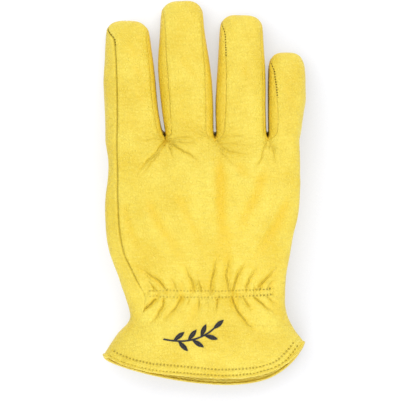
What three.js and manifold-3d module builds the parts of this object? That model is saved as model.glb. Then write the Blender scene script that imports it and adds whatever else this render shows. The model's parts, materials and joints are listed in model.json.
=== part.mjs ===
// Lined leather driver glove for the right hand, lying on its palm with the thumb folded underneath.
// Millimetres, +Z up out of the back of the hand, fingers towards +Y, little finger towards +X.
// The leather panels are cut and sewn as on the real glove: one back, one palm that wraps round the
// index finger's side, a forked strip between each pair of fingers, and a thumb in two halves.
import * as THREE from "three";
import { mergeVertices } from "three/addons/utils/BufferGeometryUtils.js";
import Module from "manifold-3d";

// Driving dimensions.
const WALL = 2.2; // leather with its thin bonded lining
const SEAM_SETBACK = 0.24; // how far each panel's edge stops short of the seam line
const FIT_GAP = 0.35; // between a piece and the one that it is let into or lies on
const UPPER_SQUARENESS = 2.4; // superellipse exponent of the back's half of a section
const LOWER_SQUARENESS = 3.2; // and of the palm's half, which lies flatter
const PALM_SEAM_INSET = 3.5; // palm-side seams from the outline
const ROOT_Y = 35.4; // line of the finger roots, where the forks start
const REST = 0; // height of the surface, which flattens what lies on it
const FORK = { length: 10, dimple: 2.5, valley: 36 }; // reach up a finger, depth, reach down the hand
const TIP = { length: 14, widthPower: 3, heightPower: 2.2, seamsMeet: 0.74 }; // rounded fingertips
const MOUTH = { lowest: 0.3, leftPower: 1.6, rightPower: 3, lip: 5 }; // curve of the cuff's edge
const ELASTIC_DOWN = 104; // the elastic's place, measured down from the finger roots
const GATHER = {
  height: 1.8, reach: 11, flat: 0.55, flatReach: 3, pull: 0.05, pullReach: 24, smoothBelow: 12,
};
const BINDING = { width: 2.6, proud: 0.6, sides: 6 };
const FACING = { depth: 12, thickness: 1, clearance: 0.55 };
const SPRIG = {
  x: -4.4, y: -94.5, stem: [[-21, -4], [0, -8.5], [13, 3.5]], stemHalf: 0.8, stemSteps: 8,
  leaf: 9.5, leafWidth: 3.4, spread: 44, pairs: [0.16, 0.42, 0.68], stagger: 0.08, last: 0.97,
  low: 15, deep: 40, thick: 0.8,
};

// Cross-sections of the hand, from the finger roots down to the mouth. left and right are the
// outline's ends, sag is how far the middle of the section hangs below them, and seam is the
// index-side seam's distance in from the outline.
const HAND = [
  { down: 0.0, leftX: -64.3, leftY: 35.4, rightX: 66.3, rightY: 35.4, sag: 0.0, seam: 7.5 },
  { down: 16.4, leftX: -62.4, leftY: 19.0, rightX: 66.4, rightY: 19.0, sag: 0.0, seam: 6.0 },
  { down: 43.6, leftX: -65.4, leftY: -8.2, rightX: 65.6, rightY: -8.2, sag: 0.0, seam: 9.2 },
  { down: 74.2, leftX: -62.4, leftY: -38.8, rightX: 60.4, rightY: -38.8, sag: 0.0, seam: 9.8 },
  { down: 91.8, leftX: -56.1, leftY: -56.8, rightX: 57.5, rightY: -55.4, sag: 0.0, seam: 11.6 },
  { down: 104.0, leftX: -51.3, leftY: -71.2, rightX: 57.0, rightY: -66.4, sag: 0.0, seam: 13.0 },
  { down: 119.0, leftX: -48.6, leftY: -85.0, rightX: 58.3, rightY: -81.4, sag: 1.5, seam: 7.0 },
  { down: 137.0, leftX: -56.8, leftY: -96.0, rightX: 62.9, rightY: -91.6, sag: 8.5, seam: 4.0 },
  { down: 161.0, leftX: -65.8, leftY: -109.4, rightX: 69.4, rightY: -100.6, sag: 20.5, seam: 3.0 },
];
const MOUTH_DOWN = HAND.at(-1).down;

// Heights of the same sections: the middle of the back, the sides and the middle of the palm.
const HAND_HEIGHTS = [
  { down: 0.0, crown: 34.0, side: 21.5, floor: 11.5 },
  { down: 16.4, crown: 37.5, side: 24.0, floor: 15.4 },
  { down: 43.6, crown: 39.0, side: 25.0, floor: 16.4 },
  { down: 74.2, crown: 36.5, side: 23.0, floor: 14.6 },
  { down: 91.8, crown: 31.5, side: 18.0, floor: 9.6 },
  { down: 104.0, crown: 27.5, side: 14.0, floor: 5.8 },
  { down: 119.0, crown: 26.6, side: 10.8, floor: 2.8 },
  { down: 137.0, crown: 27.6, side: 9.4, floor: 1.0 },
  { down: 161.0, crown: 28.2, side: 9.0, floor: 0.8 },
];

// Outline of each finger from its root to its tip, with its back seams' distances in from it.
const FINGERS = {
  index: [
    { y: 35.4, left: -64.3, right: -25.1, seamLeft: 7.5, seamRight: 2.5 },
    { y: 53.7, left: -64.9, right: -28.9, seamLeft: 8.3, seamRight: 3.0 },
    { y: 78.2, left: -66.2, right: -31.6, seamLeft: 8.8, seamRight: 3.0 },
    { y: 98.6, left: -66.2, right: -34.0, seamLeft: 7.5, seamRight: 2.5 },
    { y: 117.3, left: -65.2, right: -36.4, seamLeft: 4.0, seamRight: 2.0 },
  ],
  middle: [
    { y: 35.4, left: -23.8, right: 8.4, seamLeft: 3.5, seamRight: 4.5 },
    { y: 61.9, left: -27.5, right: 7.8, seamLeft: 6.1, seamRight: 5.1 },
    { y: 86.4, left: -29.4, right: 5.8, seamLeft: 6.1, seamRight: 3.6 },
    { y: 110.8, left: -28.4, right: 2.0, seamLeft: 3.5, seamRight: 1.8 },
    { y: 130.9, left: -27.2, right: 0.4, seamLeft: 2.0, seamRight: 1.5 },
  ],
  ring: [
    { y: 35.4, left: 9.8, right: 44.0, seamLeft: 5.0, seamRight: 2.0 },
    { y: 57.8, left: 9.4, right: 43.6, seamLeft: 6.8, seamRight: 1.8 },
    { y: 78.2, left: 10.5, right: 43.6, seamLeft: 6.2, seamRight: 1.8 },
    { y: 104.0, left: 11.9, right: 42.2, seamLeft: 3.7, seamRight: 1.8 },
    { y: 121.5, left: 13.0, right: 41.1, seamLeft: 2.0, seamRight: 1.5 },
  ],
  little: [
    { y: 35.4, left: 45.4, right: 66.3, seamLeft: 4.5, seamRight: 3.5 },
    { y: 49.6, left: 44.9, right: 68.3, seamLeft: 6.4, seamRight: 3.5 },
    { y: 66.0, left: 44.9, right: 70.4, seamLeft: 5.8, seamRight: 3.5 },
    { y: 82.3, left: 45.3, right: 70.7, seamLeft: 3.7, seamRight: 3.5 },
    { y: 95.9, left: 46.4, right: 69.7, seamLeft: 2.0, seamRight: 2.0 },
  ],
};
const FINGER_ORDER = ["index", "middle", "ring", "little"];

// Heights along a finger, by its share from root to tip: it slopes down to rest on its tip.
const FINGER_HEIGHTS = [
  { share: 0.0, crown: 33.0, side: 21.5, floor: 11.5 },
  { share: 0.25, crown: 29.0, side: 17.2, floor: 7.4 },
  { share: 0.5, crown: 24.2, side: 12.6, floor: 3.2 },
  { share: 0.75, crown: 20.4, side: 9.6, floor: 0.2 },
  { share: 1.0, crown: 18.0, side: 8.8, floor: -0.6 },
];

// The thumb, from inside the palm out to its tip, lying flat under the palm.
const THUMB = [
  { out: 0, x: -37.0, y: -49.0, half: 14.5, crown: 27.0, side: 21.5, floor: 16.0 },
  { out: 22, x: -35.0, y: -33.0, half: 17.5, crown: 22.5, side: 14.2, floor: 6.0 },
  { out: 45, x: -27.5, y: -13.0, half: 17.0, crown: 15.3, side: 7.9, floor: 1.0 },
  { out: 68, x: -16.5, y: 6.0, half: 16.0, crown: 14.8, side: 7.2, floor: -0.5 },
  { out: 98, x: -4.0, y: 31.0, half: 14.0, crown: 11.4, side: 5.6, floor: -0.6 },
];

// Rows and columns of each surface.
const ARCH_COLUMNS = 10; // over one finger's back
const PALM_COLUMNS = 5; // under one finger
const SIDE_COLUMNS = 4; // round an outer side of the hand
const FORK_COLUMNS = 3; // across a forked strip
const FOLD_COLUMNS = 4; // to one gathered fold
const THUMB_COLUMNS = 10; // round half of the thumb
const HOLLOW_SIDES = 40; // round the hand's hollow, where it trims the thumb
const LAYER_SIDES = 60; // round the layer that the emblem is cut from
const FINGER_SHARES = [0, 0.035, 0.09, 0.18, 0.36, 0.63, 1]; // rows from root to rounded tip
const THUMB_SHARES = [0, 0.17, 0.34, 0.5, 0.65, 0.82, 1];
const TIP_ANGLES = [25, 48, 70, 90]; // rows of a rounded tip
const HAND_ROWS = [0, 4, 10, 19, 31, 46, 61, 75, 86, 93, 98, 102, 106, 110, 115, 122, 132, 146, MOUTH_DOWN];

const TURN = Math.PI * 2;
const radians = THREE.MathUtils.degToRad;
const lerp = THREE.MathUtils.lerp;
const smooth = THREE.MathUtils.smoothstep;

// A column of a table at a place between its rows, on a cubic that passes smoothly through them.
function along(rows, key, column, place) {
  const last = rows.length - 1;
  const next = rows.findIndex((row, k) => k > 0 && row[key] >= place);
  const i = next < 0 ? last - 1 : next - 1;
  const slope = (k) => {
    const before = rows[Math.max(0, k - 1)];
    const after = rows[Math.min(last, k + 1)];
    return (after[column] - before[column]) / (after[key] - before[key]);
  };
  const span = rows[i + 1][key] - rows[i][key];
  const t = THREE.MathUtils.clamp((place - rows[i][key]) / span, 0, 1);
  return (
    rows[i][column] * (1 + 2 * t) * (1 - t) ** 2 +
    rows[i + 1][column] * t * t * (3 - 2 * t) +
    span * t * (1 - t) * (slope(i) * (1 - t) - slope(i + 1) * t)
  );
}

const squareness = (angle) => (Math.sin(angle) >= 0 ? UPPER_SQUARENESS : LOWER_SQUARENESS);
const signedPower = (value, power) => Math.sign(value) * Math.abs(value) ** power;

// Across and up, each from -1 to 1, of the point of a section at an angle: 0 is the little finger's
// side, 90 degrees the back and 180 the index finger's side.
function sectionPoint(angle) {
  const power = 2 / squareness(angle);
  return {
    across: signedPower(Math.cos(angle), power),
    up: signedPower(Math.sin(angle), power),
  };
}

// The angle in the upper or lower half whose point is that far across.
function angleAcross(across, upper) {
  const power = (upper ? UPPER_SQUARENESS : LOWER_SQUARENESS) / 2;
  const angle = Math.acos(THREE.MathUtils.clamp(signedPower(across, power), -1, 1));
  return upper ? angle : TURN - angle;
}

// A section's height at a share up or down from its side.
const heightAt = (row, up) =>
  row("side") + up * (up > 0 ? row("crown") - row("side") : row("side") - row("floor"));

// A point of the hand's outer surface.
function handPoint(angle, down) {
  const row = (column) => along(HAND, "down", column, down);
  const { across, up } = sectionPoint(angle);
  const share = (across + 1) / 2;
  const aside = across - MOUTH.lowest;
  const rise =
    aside < 0
      ? (-aside / (1 + MOUTH.lowest)) ** MOUTH.leftPower
      : (aside / (1 - MOUTH.lowest)) ** MOUTH.rightPower;
  const lip = MOUTH.lip * Math.max(0, -up) * (row("sag") / HAND.at(-1).sag);
  return new THREE.Vector3(
    lerp(row("leftX"), row("rightX"), share),
    lerp(row("leftY"), row("rightY"), share) - row("sag") * (1 - rise) - lip,
    heightAt((column) => along(HAND_HEIGHTS, "down", column, down), up),
  );
}

// The two side seams of the hand, as angles: the index side's on the back, the other on the palm.
function handSeams(down) {
  const half = (along(HAND, "down", "rightX", down) - along(HAND, "down", "leftX", down)) / 2;
  return {
    start: angleAcross(along(HAND, "down", "seam", down) / half - 1, true),
    end: angleAcross(1 - PALM_SEAM_INSET / half, false) - TURN,
  };
}

// How a fingertip closes: the share of its width and of its height left at a place along it.
function tipShares(place, tip) {
  const into = THREE.MathUtils.clamp((place - tip + TIP.length) / TIP.length, 0, 1);
  return {
    width: (1 - into ** TIP.widthPower) ** (1 / TIP.widthPower),
    height: (1 - into ** TIP.heightPower) ** (1 / TIP.heightPower),
    seam: 1 - smooth(into, 0, TIP.seamsMeet),
  };
}

// A point of a finger's outer surface, before it is drawn in to the forks.
function fingerPoint(name, angle, y) {
  const rows = FINGERS[name];
  const root = rows[0].y;
  const tip = rows.at(-1).y;
  const share = (y - root) / (tip - root);
  const left = along(rows, "y", "left", y);
  const right = along(rows, "y", "right", y);
  const height = (column) => along(FINGER_HEIGHTS, "share", column, share);
  const { across, up } = sectionPoint(angle);
  const closing = tipShares(y, tip);
  return new THREE.Vector3(
    (left + right) / 2 + (across * closing.width * (right - left)) / 2,
    y,
    Math.max(REST, heightAt(height, up * closing.height)),
  );
}

// The angles of a finger's four seams at a place along it, going all the way round from the back's
// left seam.
function fingerSeams(name, y) {
  const rows = FINGERS[name];
  const closing = tipShares(y, rows.at(-1).y);
  const half = (along(rows, "y", "right", y) - along(rows, "y", "left", y)) / 2;
  const inset = (column) => (along(rows, "y", column, y) / half) * closing.seam;
  const palmInset = (PALM_SEAM_INSET / half) * closing.seam;
  const backLeft = angleAcross(inset("seamLeft") - 1, true);
  return {
    backLeft,
    backRight: angleAcross(1 - inset("seamRight"), true),
    palmRight: angleAcross(1 - palmInset, false) - TURN,
    palmLeft: angleAcross(palmInset - 1, false) - TURN,
    backLeftAgain: backLeft - TURN,
  };
}

// Where the panels meet at the fork between two neighbouring fingers: on the back, and on the palm.
function forkPoints(leftName, rightName) {
  const meeting = (leftSeam, rightSeam, lift) => {
    const a = fingerPoint(leftName, fingerSeams(leftName, ROOT_Y)[leftSeam], ROOT_Y);
    const b = fingerPoint(rightName, fingerSeams(rightName, ROOT_Y)[rightSeam], ROOT_Y);
    const edges = FINGERS[leftName][0].right + FINGERS[rightName][0].left;
    return new THREE.Vector3(edges / 2, ROOT_Y, (a.z + b.z) / 2 + lift);
  };
  return {
    back: meeting("backRight", "backLeft", -FORK.dimple),
    palm: meeting("palmRight", "palmLeft", FORK.dimple / 2),
  };
}
const FORKS = FINGER_ORDER.slice(1).map((name, k) => forkPoints(FINGER_ORDER[k], name));

// How much a fork still holds a finger at a place along it.
const forkHold = (y) => Math.max(0, 1 - (y - ROOT_Y) / FORK.length) ** 2;

// A finger's point at a share of the way from one of its seams to another.
function betweenSeams(name, from, to, share, y) {
  const seams = fingerSeams(name, y);
  return fingerPoint(name, lerp(seams[from], seams[to], share), y);
}

// A point of a finger's panel between two of its seams, drawn in near its root to the fork points at
// the panel's two edges, where it has them.
function panelPoint(name, from, to, share, y, fromFork, toFork) {
  const point = betweenSeams(name, from, to, share, y);
  const drawIn = (fork, edge, pull) => {
    if (!fork) return;
    const free = betweenSeams(name, from, to, edge, ROOT_Y);
    point.addScaledVector(fork.clone().sub(free), forkHold(y) * pull ** 4);
  };
  drawIn(fromFork, 0, 1 - share);
  drawIn(toFork, 1, share);
  return point;
}

function fingerRows(name) {
  const rounding = FINGERS[name].at(-1).y - TIP.length;
  return [
    ...FINGER_SHARES.map((share) => lerp(ROOT_Y, rounding, share)),
    ...TIP_ANGLES.map((angle) => rounding + TIP.length * Math.sin(radians(angle))),
  ];
}

// A patch is a grid of points and the height of the folds on them. Columns go round clockwise as
// seen from the mouth and rows go towards the fingertips, so that its faces point outwards.
const patch = (rows, columns, pointAt) =>
  rows.map((row) => Array.from({ length: columns + 1 }, (_, k) => pointAt(row, k / columns, k)));
const flat = (point) => ({ point, fold: 0 });

// The back of each finger, from its left seam to its right one. The little finger's goes on round
// the outer side to the palm seam.
function fingerBack(name) {
  const k = FINGER_ORDER.indexOf(name);
  const outer = name === "little";
  const columns = ARCH_COLUMNS + (outer ? SIDE_COLUMNS : 0);
  const end = outer ? "palmRight" : "backRight";
  return patch(fingerRows(name), columns, (y, share) =>
    flat(panelPoint(name, "backLeft", end, share, y, FORKS[k - 1]?.back, FORKS[k]?.back)),
  );
}

// The palm side of each finger. The index finger's goes on round the outer side to the back seam.
function fingerPalm(name) {
  const k = FINGER_ORDER.indexOf(name);
  const outer = name === "index";
  const columns = PALM_COLUMNS + (outer ? SIDE_COLUMNS : 0);
  const end = outer ? "backLeftAgain" : "palmLeft";
  return patch(fingerRows(name), columns, (y, share) =>
    flat(panelPoint(name, "palmRight", end, share, y, FORKS[k]?.palm, FORKS[k - 1]?.palm)),
  );
}

// The strip between two fingers: down the left one's right side, through the fork and up the right
// one's left side. It ends in a point where its two seams meet beside each fingertip.
function forkedStrip(k) {
  const fork = FORKS[k];
  const side = (name, from, to) =>
    patch(fingerRows(name), FORK_COLUMNS, (y, share) => {
      const point = betweenSeams(name, from, to, share, y);
      const free = betweenSeams(name, from, to, share, ROOT_Y);
      const held = new THREE.Vector3().lerpVectors(fork.palm, fork.back, share);
      return flat(point.addScaledVector(held.sub(free), forkHold(y)));
    });
  const left = side(FINGER_ORDER[k], "palmRight", "backRight");
  const right = side(FINGER_ORDER[k + 1], "palmLeft", "backLeftAgain");
  return [...left.reverse(), ...right.slice(1)];
}

// A panel of the hand, whose first row is the row of finger roots above it. Each column keeps its
// share of the way round, shifting to even spacing towards the mouth, and the step between the
// fingers' roots and the hand's own section dies out over the valleys' length.
function handPanel(rootRow, bounds, folds) {
  const top = bounds(0);
  const columns = rootRow.length - 1;
  const left = HAND[0].leftX;
  const width = HAND[0].rightX - left;
  const shares = rootRow.map(({ point }, k) => {
    if (k === 0 || k === columns) return k / columns;
    const across = (2 * (point.x - left)) / width - 1;
    const turned = angleAcross(across, point.z > HAND_HEIGHTS[0].side);
    const angle = [turned, turned - TURN].find((a) => a <= top.start && a >= top.end);
    return (top.start - angle) / (top.start - top.end);
  });
  const surface = (k, down) => {
    const { start, end } = bounds(down);
    const even = lerp(shares[k], k / columns, smooth(down, 0, ELASTIC_DOWN));
    const near = Math.exp(-(((down - ELASTIC_DOWN) / GATHER.pullReach) ** 2));
    const share = even + folds.pull * near * Math.sin(TURN * even);
    return handPoint(lerp(start, end, share), down);
  };
  return HAND_ROWS.map((down) => {
    const dying = Math.max(0, 1 - down / FORK.valley) ** 2;
    return rootRow.map(({ point }, k) => {
      const step = point.clone().sub(surface(k, 0)).multiplyScalar(dying);
      return { point: surface(k, down).add(step), fold: folds.height(k, columns, down) };
    });
  }).reverse();
}

// Gathered folds: highest just beside the elastic, held flatter under it, uneven from one to the
// next, and only on the back. They leave the cuff smooth round the emblem.
const backFolds = {
  pull: GATHER.pull,
  height: (k, columns, down) => {
    const share = k / columns;
    const distance = Math.abs(down - ELASTIC_DOWN);
    const held = lerp(GATHER.flat, 1, smooth(distance, 0, GATHER.flatReach));
    const reach = Math.exp(-distance / GATHER.reach) * held;
    const uneven = 0.75 + 0.25 * Math.sin(1.7 * k);
    const between = smooth(share, 0.1, 0.2) * (1 - smooth(share, 0.78, 0.9));
    const below = smooth(down, ELASTIC_DOWN, ELASTIC_DOWN + GATHER.smoothBelow);
    const emblem = below * Math.exp(-(((share - 0.45) / 0.2) ** 2));
    const wave = Math.cos((TURN * k) / FOLD_COLUMNS);
    return GATHER.height * reach * uneven * between * (1 - emblem) * wave;
  },
};
const noFolds = { pull: 0, height: () => 0 };

const joinRows = (patches) => patches.flatMap((p, k) => (k ? p[0].slice(1) : p[0]));
const fingerBacks = FINGER_ORDER.map(fingerBack);
const fingerPalms = [...FINGER_ORDER].reverse().map(fingerPalm);
const handBack = handPanel(joinRows(fingerBacks), handSeams, backFolds);
const palmBounds = (down) => {
  const { start, end } = handSeams(down);
  return { start: end, end: start - TURN };
};
const handPalm = handPanel(joinRows(fingerPalms), palmBounds, noFolds);
const forkedStrips = [0, 1, 2].map(forkedStrip);

const MERGE = 1e-3; // points nearer than this are the same vertex
const keyOf = (point) => point.toArray().map((value) => Math.round(value / MERGE)).join();

// The vertices and faces of some patches joined into one sheet.
function sheetOf(patches) {
  const vertices = [];
  const indexOf = new Map();
  const faces = [];
  const vertexOf = ({ point, fold }) => {
    const key = keyOf(point);
    if (!indexOf.has(key)) {
      indexOf.set(key, vertices.length);
      vertices.push({ key, point, fold });
    }
    return indexOf.get(key);
  };
  for (const rows of patches) {
    const ids = rows.map((row) => row.map(vertexOf));
    for (let r = 1; r < ids.length; r++) {
      for (let c = 1; c < ids[r].length; c++) {
        const [a, b, d, e] = [ids[r - 1][c - 1], ids[r - 1][c], ids[r][c], ids[r][c - 1]];
        for (const face of [[a, b, d], [a, d, e]]) if (new Set(face).size === 3) faces.push(face);
      }
    }
  }
  return { vertices, faces };
}

// The outward normal at every vertex of the whole glove, so that panels which share a seam are
// mitred there.
function normalsOf({ vertices, faces }) {
  const normals = new Map(vertices.map(({ key }) => [key, new THREE.Vector3()]));
  for (const face of faces) {
    face.forEach((_, k) => {
      const [p, q, r] = [k, k + 1, k + 2].map((i) => vertices[face[i % 3]]);
      const toQ = q.point.clone().sub(p.point);
      const toR = r.point.clone().sub(p.point);
      const square = toQ.clone().cross(toR).normalize();
      normals.get(p.key).addScaledVector(square, toQ.angleTo(toR));
    });
  }
  for (const normal of normals.values()) normal.normalize();
  return normals;
}
const NORMALS = normalsOf(sheetOf([...fingerBacks, ...fingerPalms, handBack, handPalm, ...forkedStrips]));

// The open edges of a sheet, each from one vertex to the next with the sheet on its left.
function edgesOf(faces) {
  const edges = new Map();
  for (const [a, b, c] of faces) {
    for (const [p, q] of [[a, b], [b, c], [c, a]]) {
      if (edges.has(`${q},${p}`)) edges.delete(`${q},${p}`);
      else edges.set(`${p},${q}`, [p, q]);
    }
  }
  return [...edges.values()];
}

function geometryFrom(points, index) {
  const geometry = new THREE.BufferGeometry();
  const positions = points.flatMap((point) => point.toArray());
  geometry.setAttribute("position", new THREE.Float32BufferAttribute(positions, 3));
  return geometry.setIndex(index);
}

// A closed geometry from an outer and an inner sheet with the same faces, walled along the edges.
// Each wall is split the same way on both sides of a seam, from its end nearer the mouth.
function closedWall(outer, inner, faces) {
  const count = outer.length;
  const index = faces.flatMap(([a, b, c]) => [a, b, c, a + count, c + count, b + count]);
  for (const [p, q] of edgesOf(faces)) {
    if (outer[p].y < outer[q].y) index.push(q, p, q + count, p, p + count, q + count);
    else index.push(q, p, p + count, q, p + count, q + count);
  }
  return geometryFrom([...outer, ...inner], index);
}

// A leather panel: its sheet is the outer face and the inner one lies a wall's thickness inside. Its
// edges stop short of the seam, square to both the seam and the shared normal, so that two panels
// leave an even gap between them.
function leatherPanel(patches, normals = NORMALS) {
  const { vertices, faces } = sheetOf(patches);
  const ahead = new Map(edgesOf(faces));
  const behind = new Map([...ahead].map(([p, q]) => [q, p]));
  const setBack = vertices.map(({ key, point }, k) => {
    if (!ahead.has(k)) return point;
    const onward = vertices[ahead.get(k)].point.clone().sub(vertices[behind.get(k)].point);
    const inwards = normals.get(key).clone().cross(onward).normalize();
    return point.clone().addScaledVector(inwards, SEAM_SETBACK);
  });
  const offset = (away) =>
    vertices.map(({ key, fold }, k) => setBack[k].clone().addScaledVector(normals.get(key), away(fold)));
  return closedWall(offset((fold) => fold), offset((fold) => fold / 2 - WALL), faces);
}

// manifold-3d joins and cuts closed geometries.
const wasm = await Module();
wasm.setup();
function solidOf(geometry) {
  const bare = geometry.clone();
  for (const name of ["normal", "uv"]) bare.deleteAttribute(name);
  const merged = mergeVertices(bare, MERGE);
  return new wasm.Manifold(
    new wasm.Mesh({
      numProp: 3,
      vertProperties: merged.attributes.position.array,
      triVerts: new Uint32Array(merged.index.array),
    }),
  );
}
function geometryOf(solid) {
  const { vertProperties, triVerts } = solid.getMesh();
  const geometry = new THREE.BufferGeometry();
  geometry.setAttribute("position", new THREE.BufferAttribute(vertProperties, 3));
  return geometry.setIndex(new THREE.BufferAttribute(triVerts, 1));
}

// A solid between closed rings of points, capped at both ends. Rings go round clockwise as seen
// from the first ring's side.
function ringSolid(rings) {
  const size = rings[0].length;
  const index = [];
  for (let r = 1; r < rings.length; r++) {
    for (let c = 0; c < size; c++) {
      const [a, b] = [(r - 1) * size + c, (r - 1) * size + ((c + 1) % size)];
      index.push(a, b, b + size, a, b + size, a + size);
    }
  }
  const points = rings.flat();
  for (const r of [0, rings.length - 1]) {
    const centre = rings[r].reduce((sum, p) => sum.add(p), new THREE.Vector3()).divideScalar(size);
    for (let c = 0; c < size; c++) {
      const [a, b] = [r * size + c, r * size + ((c + 1) % size)];
      index.push(...(r ? [a, b, points.length] : [b, a, points.length]));
    }
    points.push(centre);
  }
  return solidOf(geometryFrom(points, index));
}

// The hand's smooth outer normal, and the closed form of the hand at an offset from its surface.
const STEP = 0.01;
function handNormal(angle, down) {
  const point = handPoint(angle, down);
  const round = handPoint(angle - STEP, down).sub(point);
  const up = handPoint(angle, Math.max(0, down - STEP)).sub(handPoint(angle, down + STEP));
  return round.cross(up).normalize();
}
const offsetPoint = (angle, down, offset) =>
  handPoint(angle, down).addScaledVector(handNormal(angle, down), offset);
function handForm(offset, rows, sides) {
  const ring = (down) =>
    Array.from({ length: sides }, (_, k) => offsetPoint(Math.PI - (TURN * (k + 0.5)) / sides, down, offset));
  return ringSolid(rows.map(ring).reverse());
}

// The thumb: sections across a path that runs from inside the palm to the thumb's tip.
const THUMB_TIP = THUMB.at(-1).out;
function thumbPoint(angle, out, offset) {
  const row = (column) => along(THUMB, "out", column, out);
  const { across, up } = sectionPoint(angle);
  const closing = tipShares(out, THUMB_TIP);
  const ahead = Math.min(THUMB_TIP, out + 1);
  const forward = new THREE.Vector2(
    along(THUMB, "out", "x", ahead) - along(THUMB, "out", "x", ahead - 1),
    along(THUMB, "out", "y", ahead) - along(THUMB, "out", "y", ahead - 1),
  ).normalize();
  const reach = (row("half") + offset) * closing.width * across;
  const height = heightAt(row, up * closing.height) + up * closing.height * offset;
  return new THREE.Vector3(
    row("x") + forward.y * reach,
    row("y") - forward.x * reach,
    Math.max(REST - offset, height),
  );
}
const thumbRounding = THUMB_TIP - TIP.length;
const THUMB_ROWS = [
  ...THUMB_SHARES.map((share) => share * thumbRounding),
  ...TIP_ANGLES.map((angle) => thumbRounding + TIP.length * Math.sin(radians(angle))),
];

// Half of the thumb between its two seams, upper towards the palm or lower towards the ground.
const thumbHalf = (first) =>
  patch(THUMB_ROWS, THUMB_COLUMNS, (out, share) => flat(thumbPoint(first - share * Math.PI, out, 0)));
const thumbUpper = thumbHalf(Math.PI);
const thumbLower = thumbHalf(0);
const thumbNormals = normalsOf(sheetOf([thumbUpper, thumbLower]));

// The thumb's closed form at an offset from its surface, with a small flat end.
const THUMB_END = THUMB_TIP - 0.05;
function thumbForm(offset) {
  const ring = (out) =>
    Array.from({ length: 2 * THUMB_COLUMNS }, (_, k) =>
      thumbPoint(Math.PI - (Math.PI * k) / THUMB_COLUMNS, Math.min(out, THUMB_END), offset),
    );
  return ringSolid(THUMB_ROWS.map(ring));
}

// Where the panels end round the mouth, with their own points one row further in.
const mouthColumns = [handBack, handPalm].flatMap((rows) =>
  rows[0].slice(0, -1).map(({ point }, c) => ({
    edge: point,
    inner: rows[1][c].point,
    edgeNormal: NORMALS.get(keyOf(point)),
    innerNormal: NORMALS.get(keyOf(rows[1][c].point)),
  })),
);

// A closed ring along the mouth, from a profile of points as [outwards from the panels' outer face,
// beyond the mouth's edge], going round with outwards to the left.
function mouthRing(profile) {
  const size = profile.length;
  const points = mouthColumns.flatMap(({ edge, inner, edgeNormal, innerNormal }) =>
    profile.map(([outwards, beyond]) => {
      const share = -beyond / edge.distanceTo(inner);
      const normal = edgeNormal.clone().lerp(innerNormal, Math.max(0, share)).normalize();
      return edge.clone().lerp(inner, share).addScaledVector(normal, outwards);
    }),
  );
  const index = [];
  mouthColumns.forEach((_, k) => {
    const next = (k + 1) % mouthColumns.length;
    profile.forEach((_, c) => {
      const d = (c + 1) % size;
      const [a, b, e, f] = [k * size + c, k * size + d, next * size + d, next * size + c];
      index.push(a, b, e, a, e, f);
    });
  });
  return geometryFrom(points, index);
}

// The bead that binds the mouth's edge.
function cuffBinding() {
  const profile = Array.from({ length: BINDING.sides }, (_, k) => {
    const angle = (TURN * k) / BINDING.sides;
    return [
      -WALL / 2 + Math.cos(angle) * (WALL / 2 + BINDING.proud),
      FIT_GAP + BINDING.width / 2 + (Math.sin(angle) * BINDING.width) / 2,
    ];
  });
  return mouthRing(profile);
}

// The strip of leather turned inside the mouth, behind the hem's stitching.
function cuffFacing() {
  const face = -WALL - FACING.clearance;
  const back = face - FACING.thickness;
  return mouthRing([
    [face, -FACING.depth],
    [face, 0],
    [back, 0],
    [back, -FACING.depth],
  ]);
}

// The emblem on the back of the cuff: a plain sprig, with leaves in pairs along a curved stem and
// one at its end, raised from the leather as a thin layer that follows it.
function cuffMotif() {
  const { x, y, stem, stemHalf, stemSteps, leaf, leafWidth, spread, pairs, stagger } = SPRIG;
  const curve = new THREE.QuadraticBezierCurve(...stem.map(([a, b]) => new THREE.Vector2(x + a, y + b)));
  const prism = (shape) => {
    const options = { depth: SPRIG.deep, bevelEnabled: false, curveSegments: 4 };
    return new THREE.ExtrudeGeometry(shape, options).translate(0, 0, SPRIG.low);
  };
  const leafAt = (place, turn) => {
    const shape = new THREE.Shape();
    shape.quadraticCurveTo(leaf / 2, leafWidth, leaf, 0);
    shape.quadraticCurveTo(leaf / 2, -leafWidth, 0, 0);
    const foot = curve.getPoint(place);
    const heading = curve.getTangent(place).angle() + radians(turn);
    return solidOf(prism(shape).rotateZ(heading).translate(foot.x, foot.y, 0));
  };
  const [leftSide, rightSide] = [stemHalf, -stemHalf].map((aside) =>
    curve.getPoints(stemSteps).map((point, k) => {
      const heading = curve.getTangent(k / stemSteps);
      return new THREE.Vector2(point.x - heading.y * aside, point.y + heading.x * aside);
    }),
  );
  let sprig = solidOf(prism(new THREE.Shape([...leftSide, ...rightSide.reverse()])));
  sprig = sprig.add(leafAt(SPRIG.last, 0));
  for (const place of pairs) {
    sprig = sprig.add(leafAt(place, spread)).add(leafAt(place + stagger, -spread));
  }
  const rows = HAND_ROWS.filter((down) => down > ELASTIC_DOWN);
  const above = handForm(FIT_GAP + SPRIG.thick, rows, LAYER_SIDES);
  const below = handForm(FIT_GAP, rows, LAYER_SIDES);
  return geometryOf(sprig.intersect(above.subtract(below)));
}

// Materials.
const leather = new THREE.MeshStandardMaterial({ color: 0xf2d649, roughness: 0.5, metalness: 0 });
const thread = new THREE.MeshStandardMaterial({ color: 0x17150f, roughness: 0.45, metalness: 0 });
const bindingLeather = new THREE.MeshStandardMaterial({ color: 0xf6dc50, roughness: 0.42, metalness: 0 });

const glove = new THREE.Group();
function add(name, geometry, material) {
  const mesh = new THREE.Mesh(geometry, material);
  mesh.name = name;
  glove.add(mesh);
}

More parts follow.
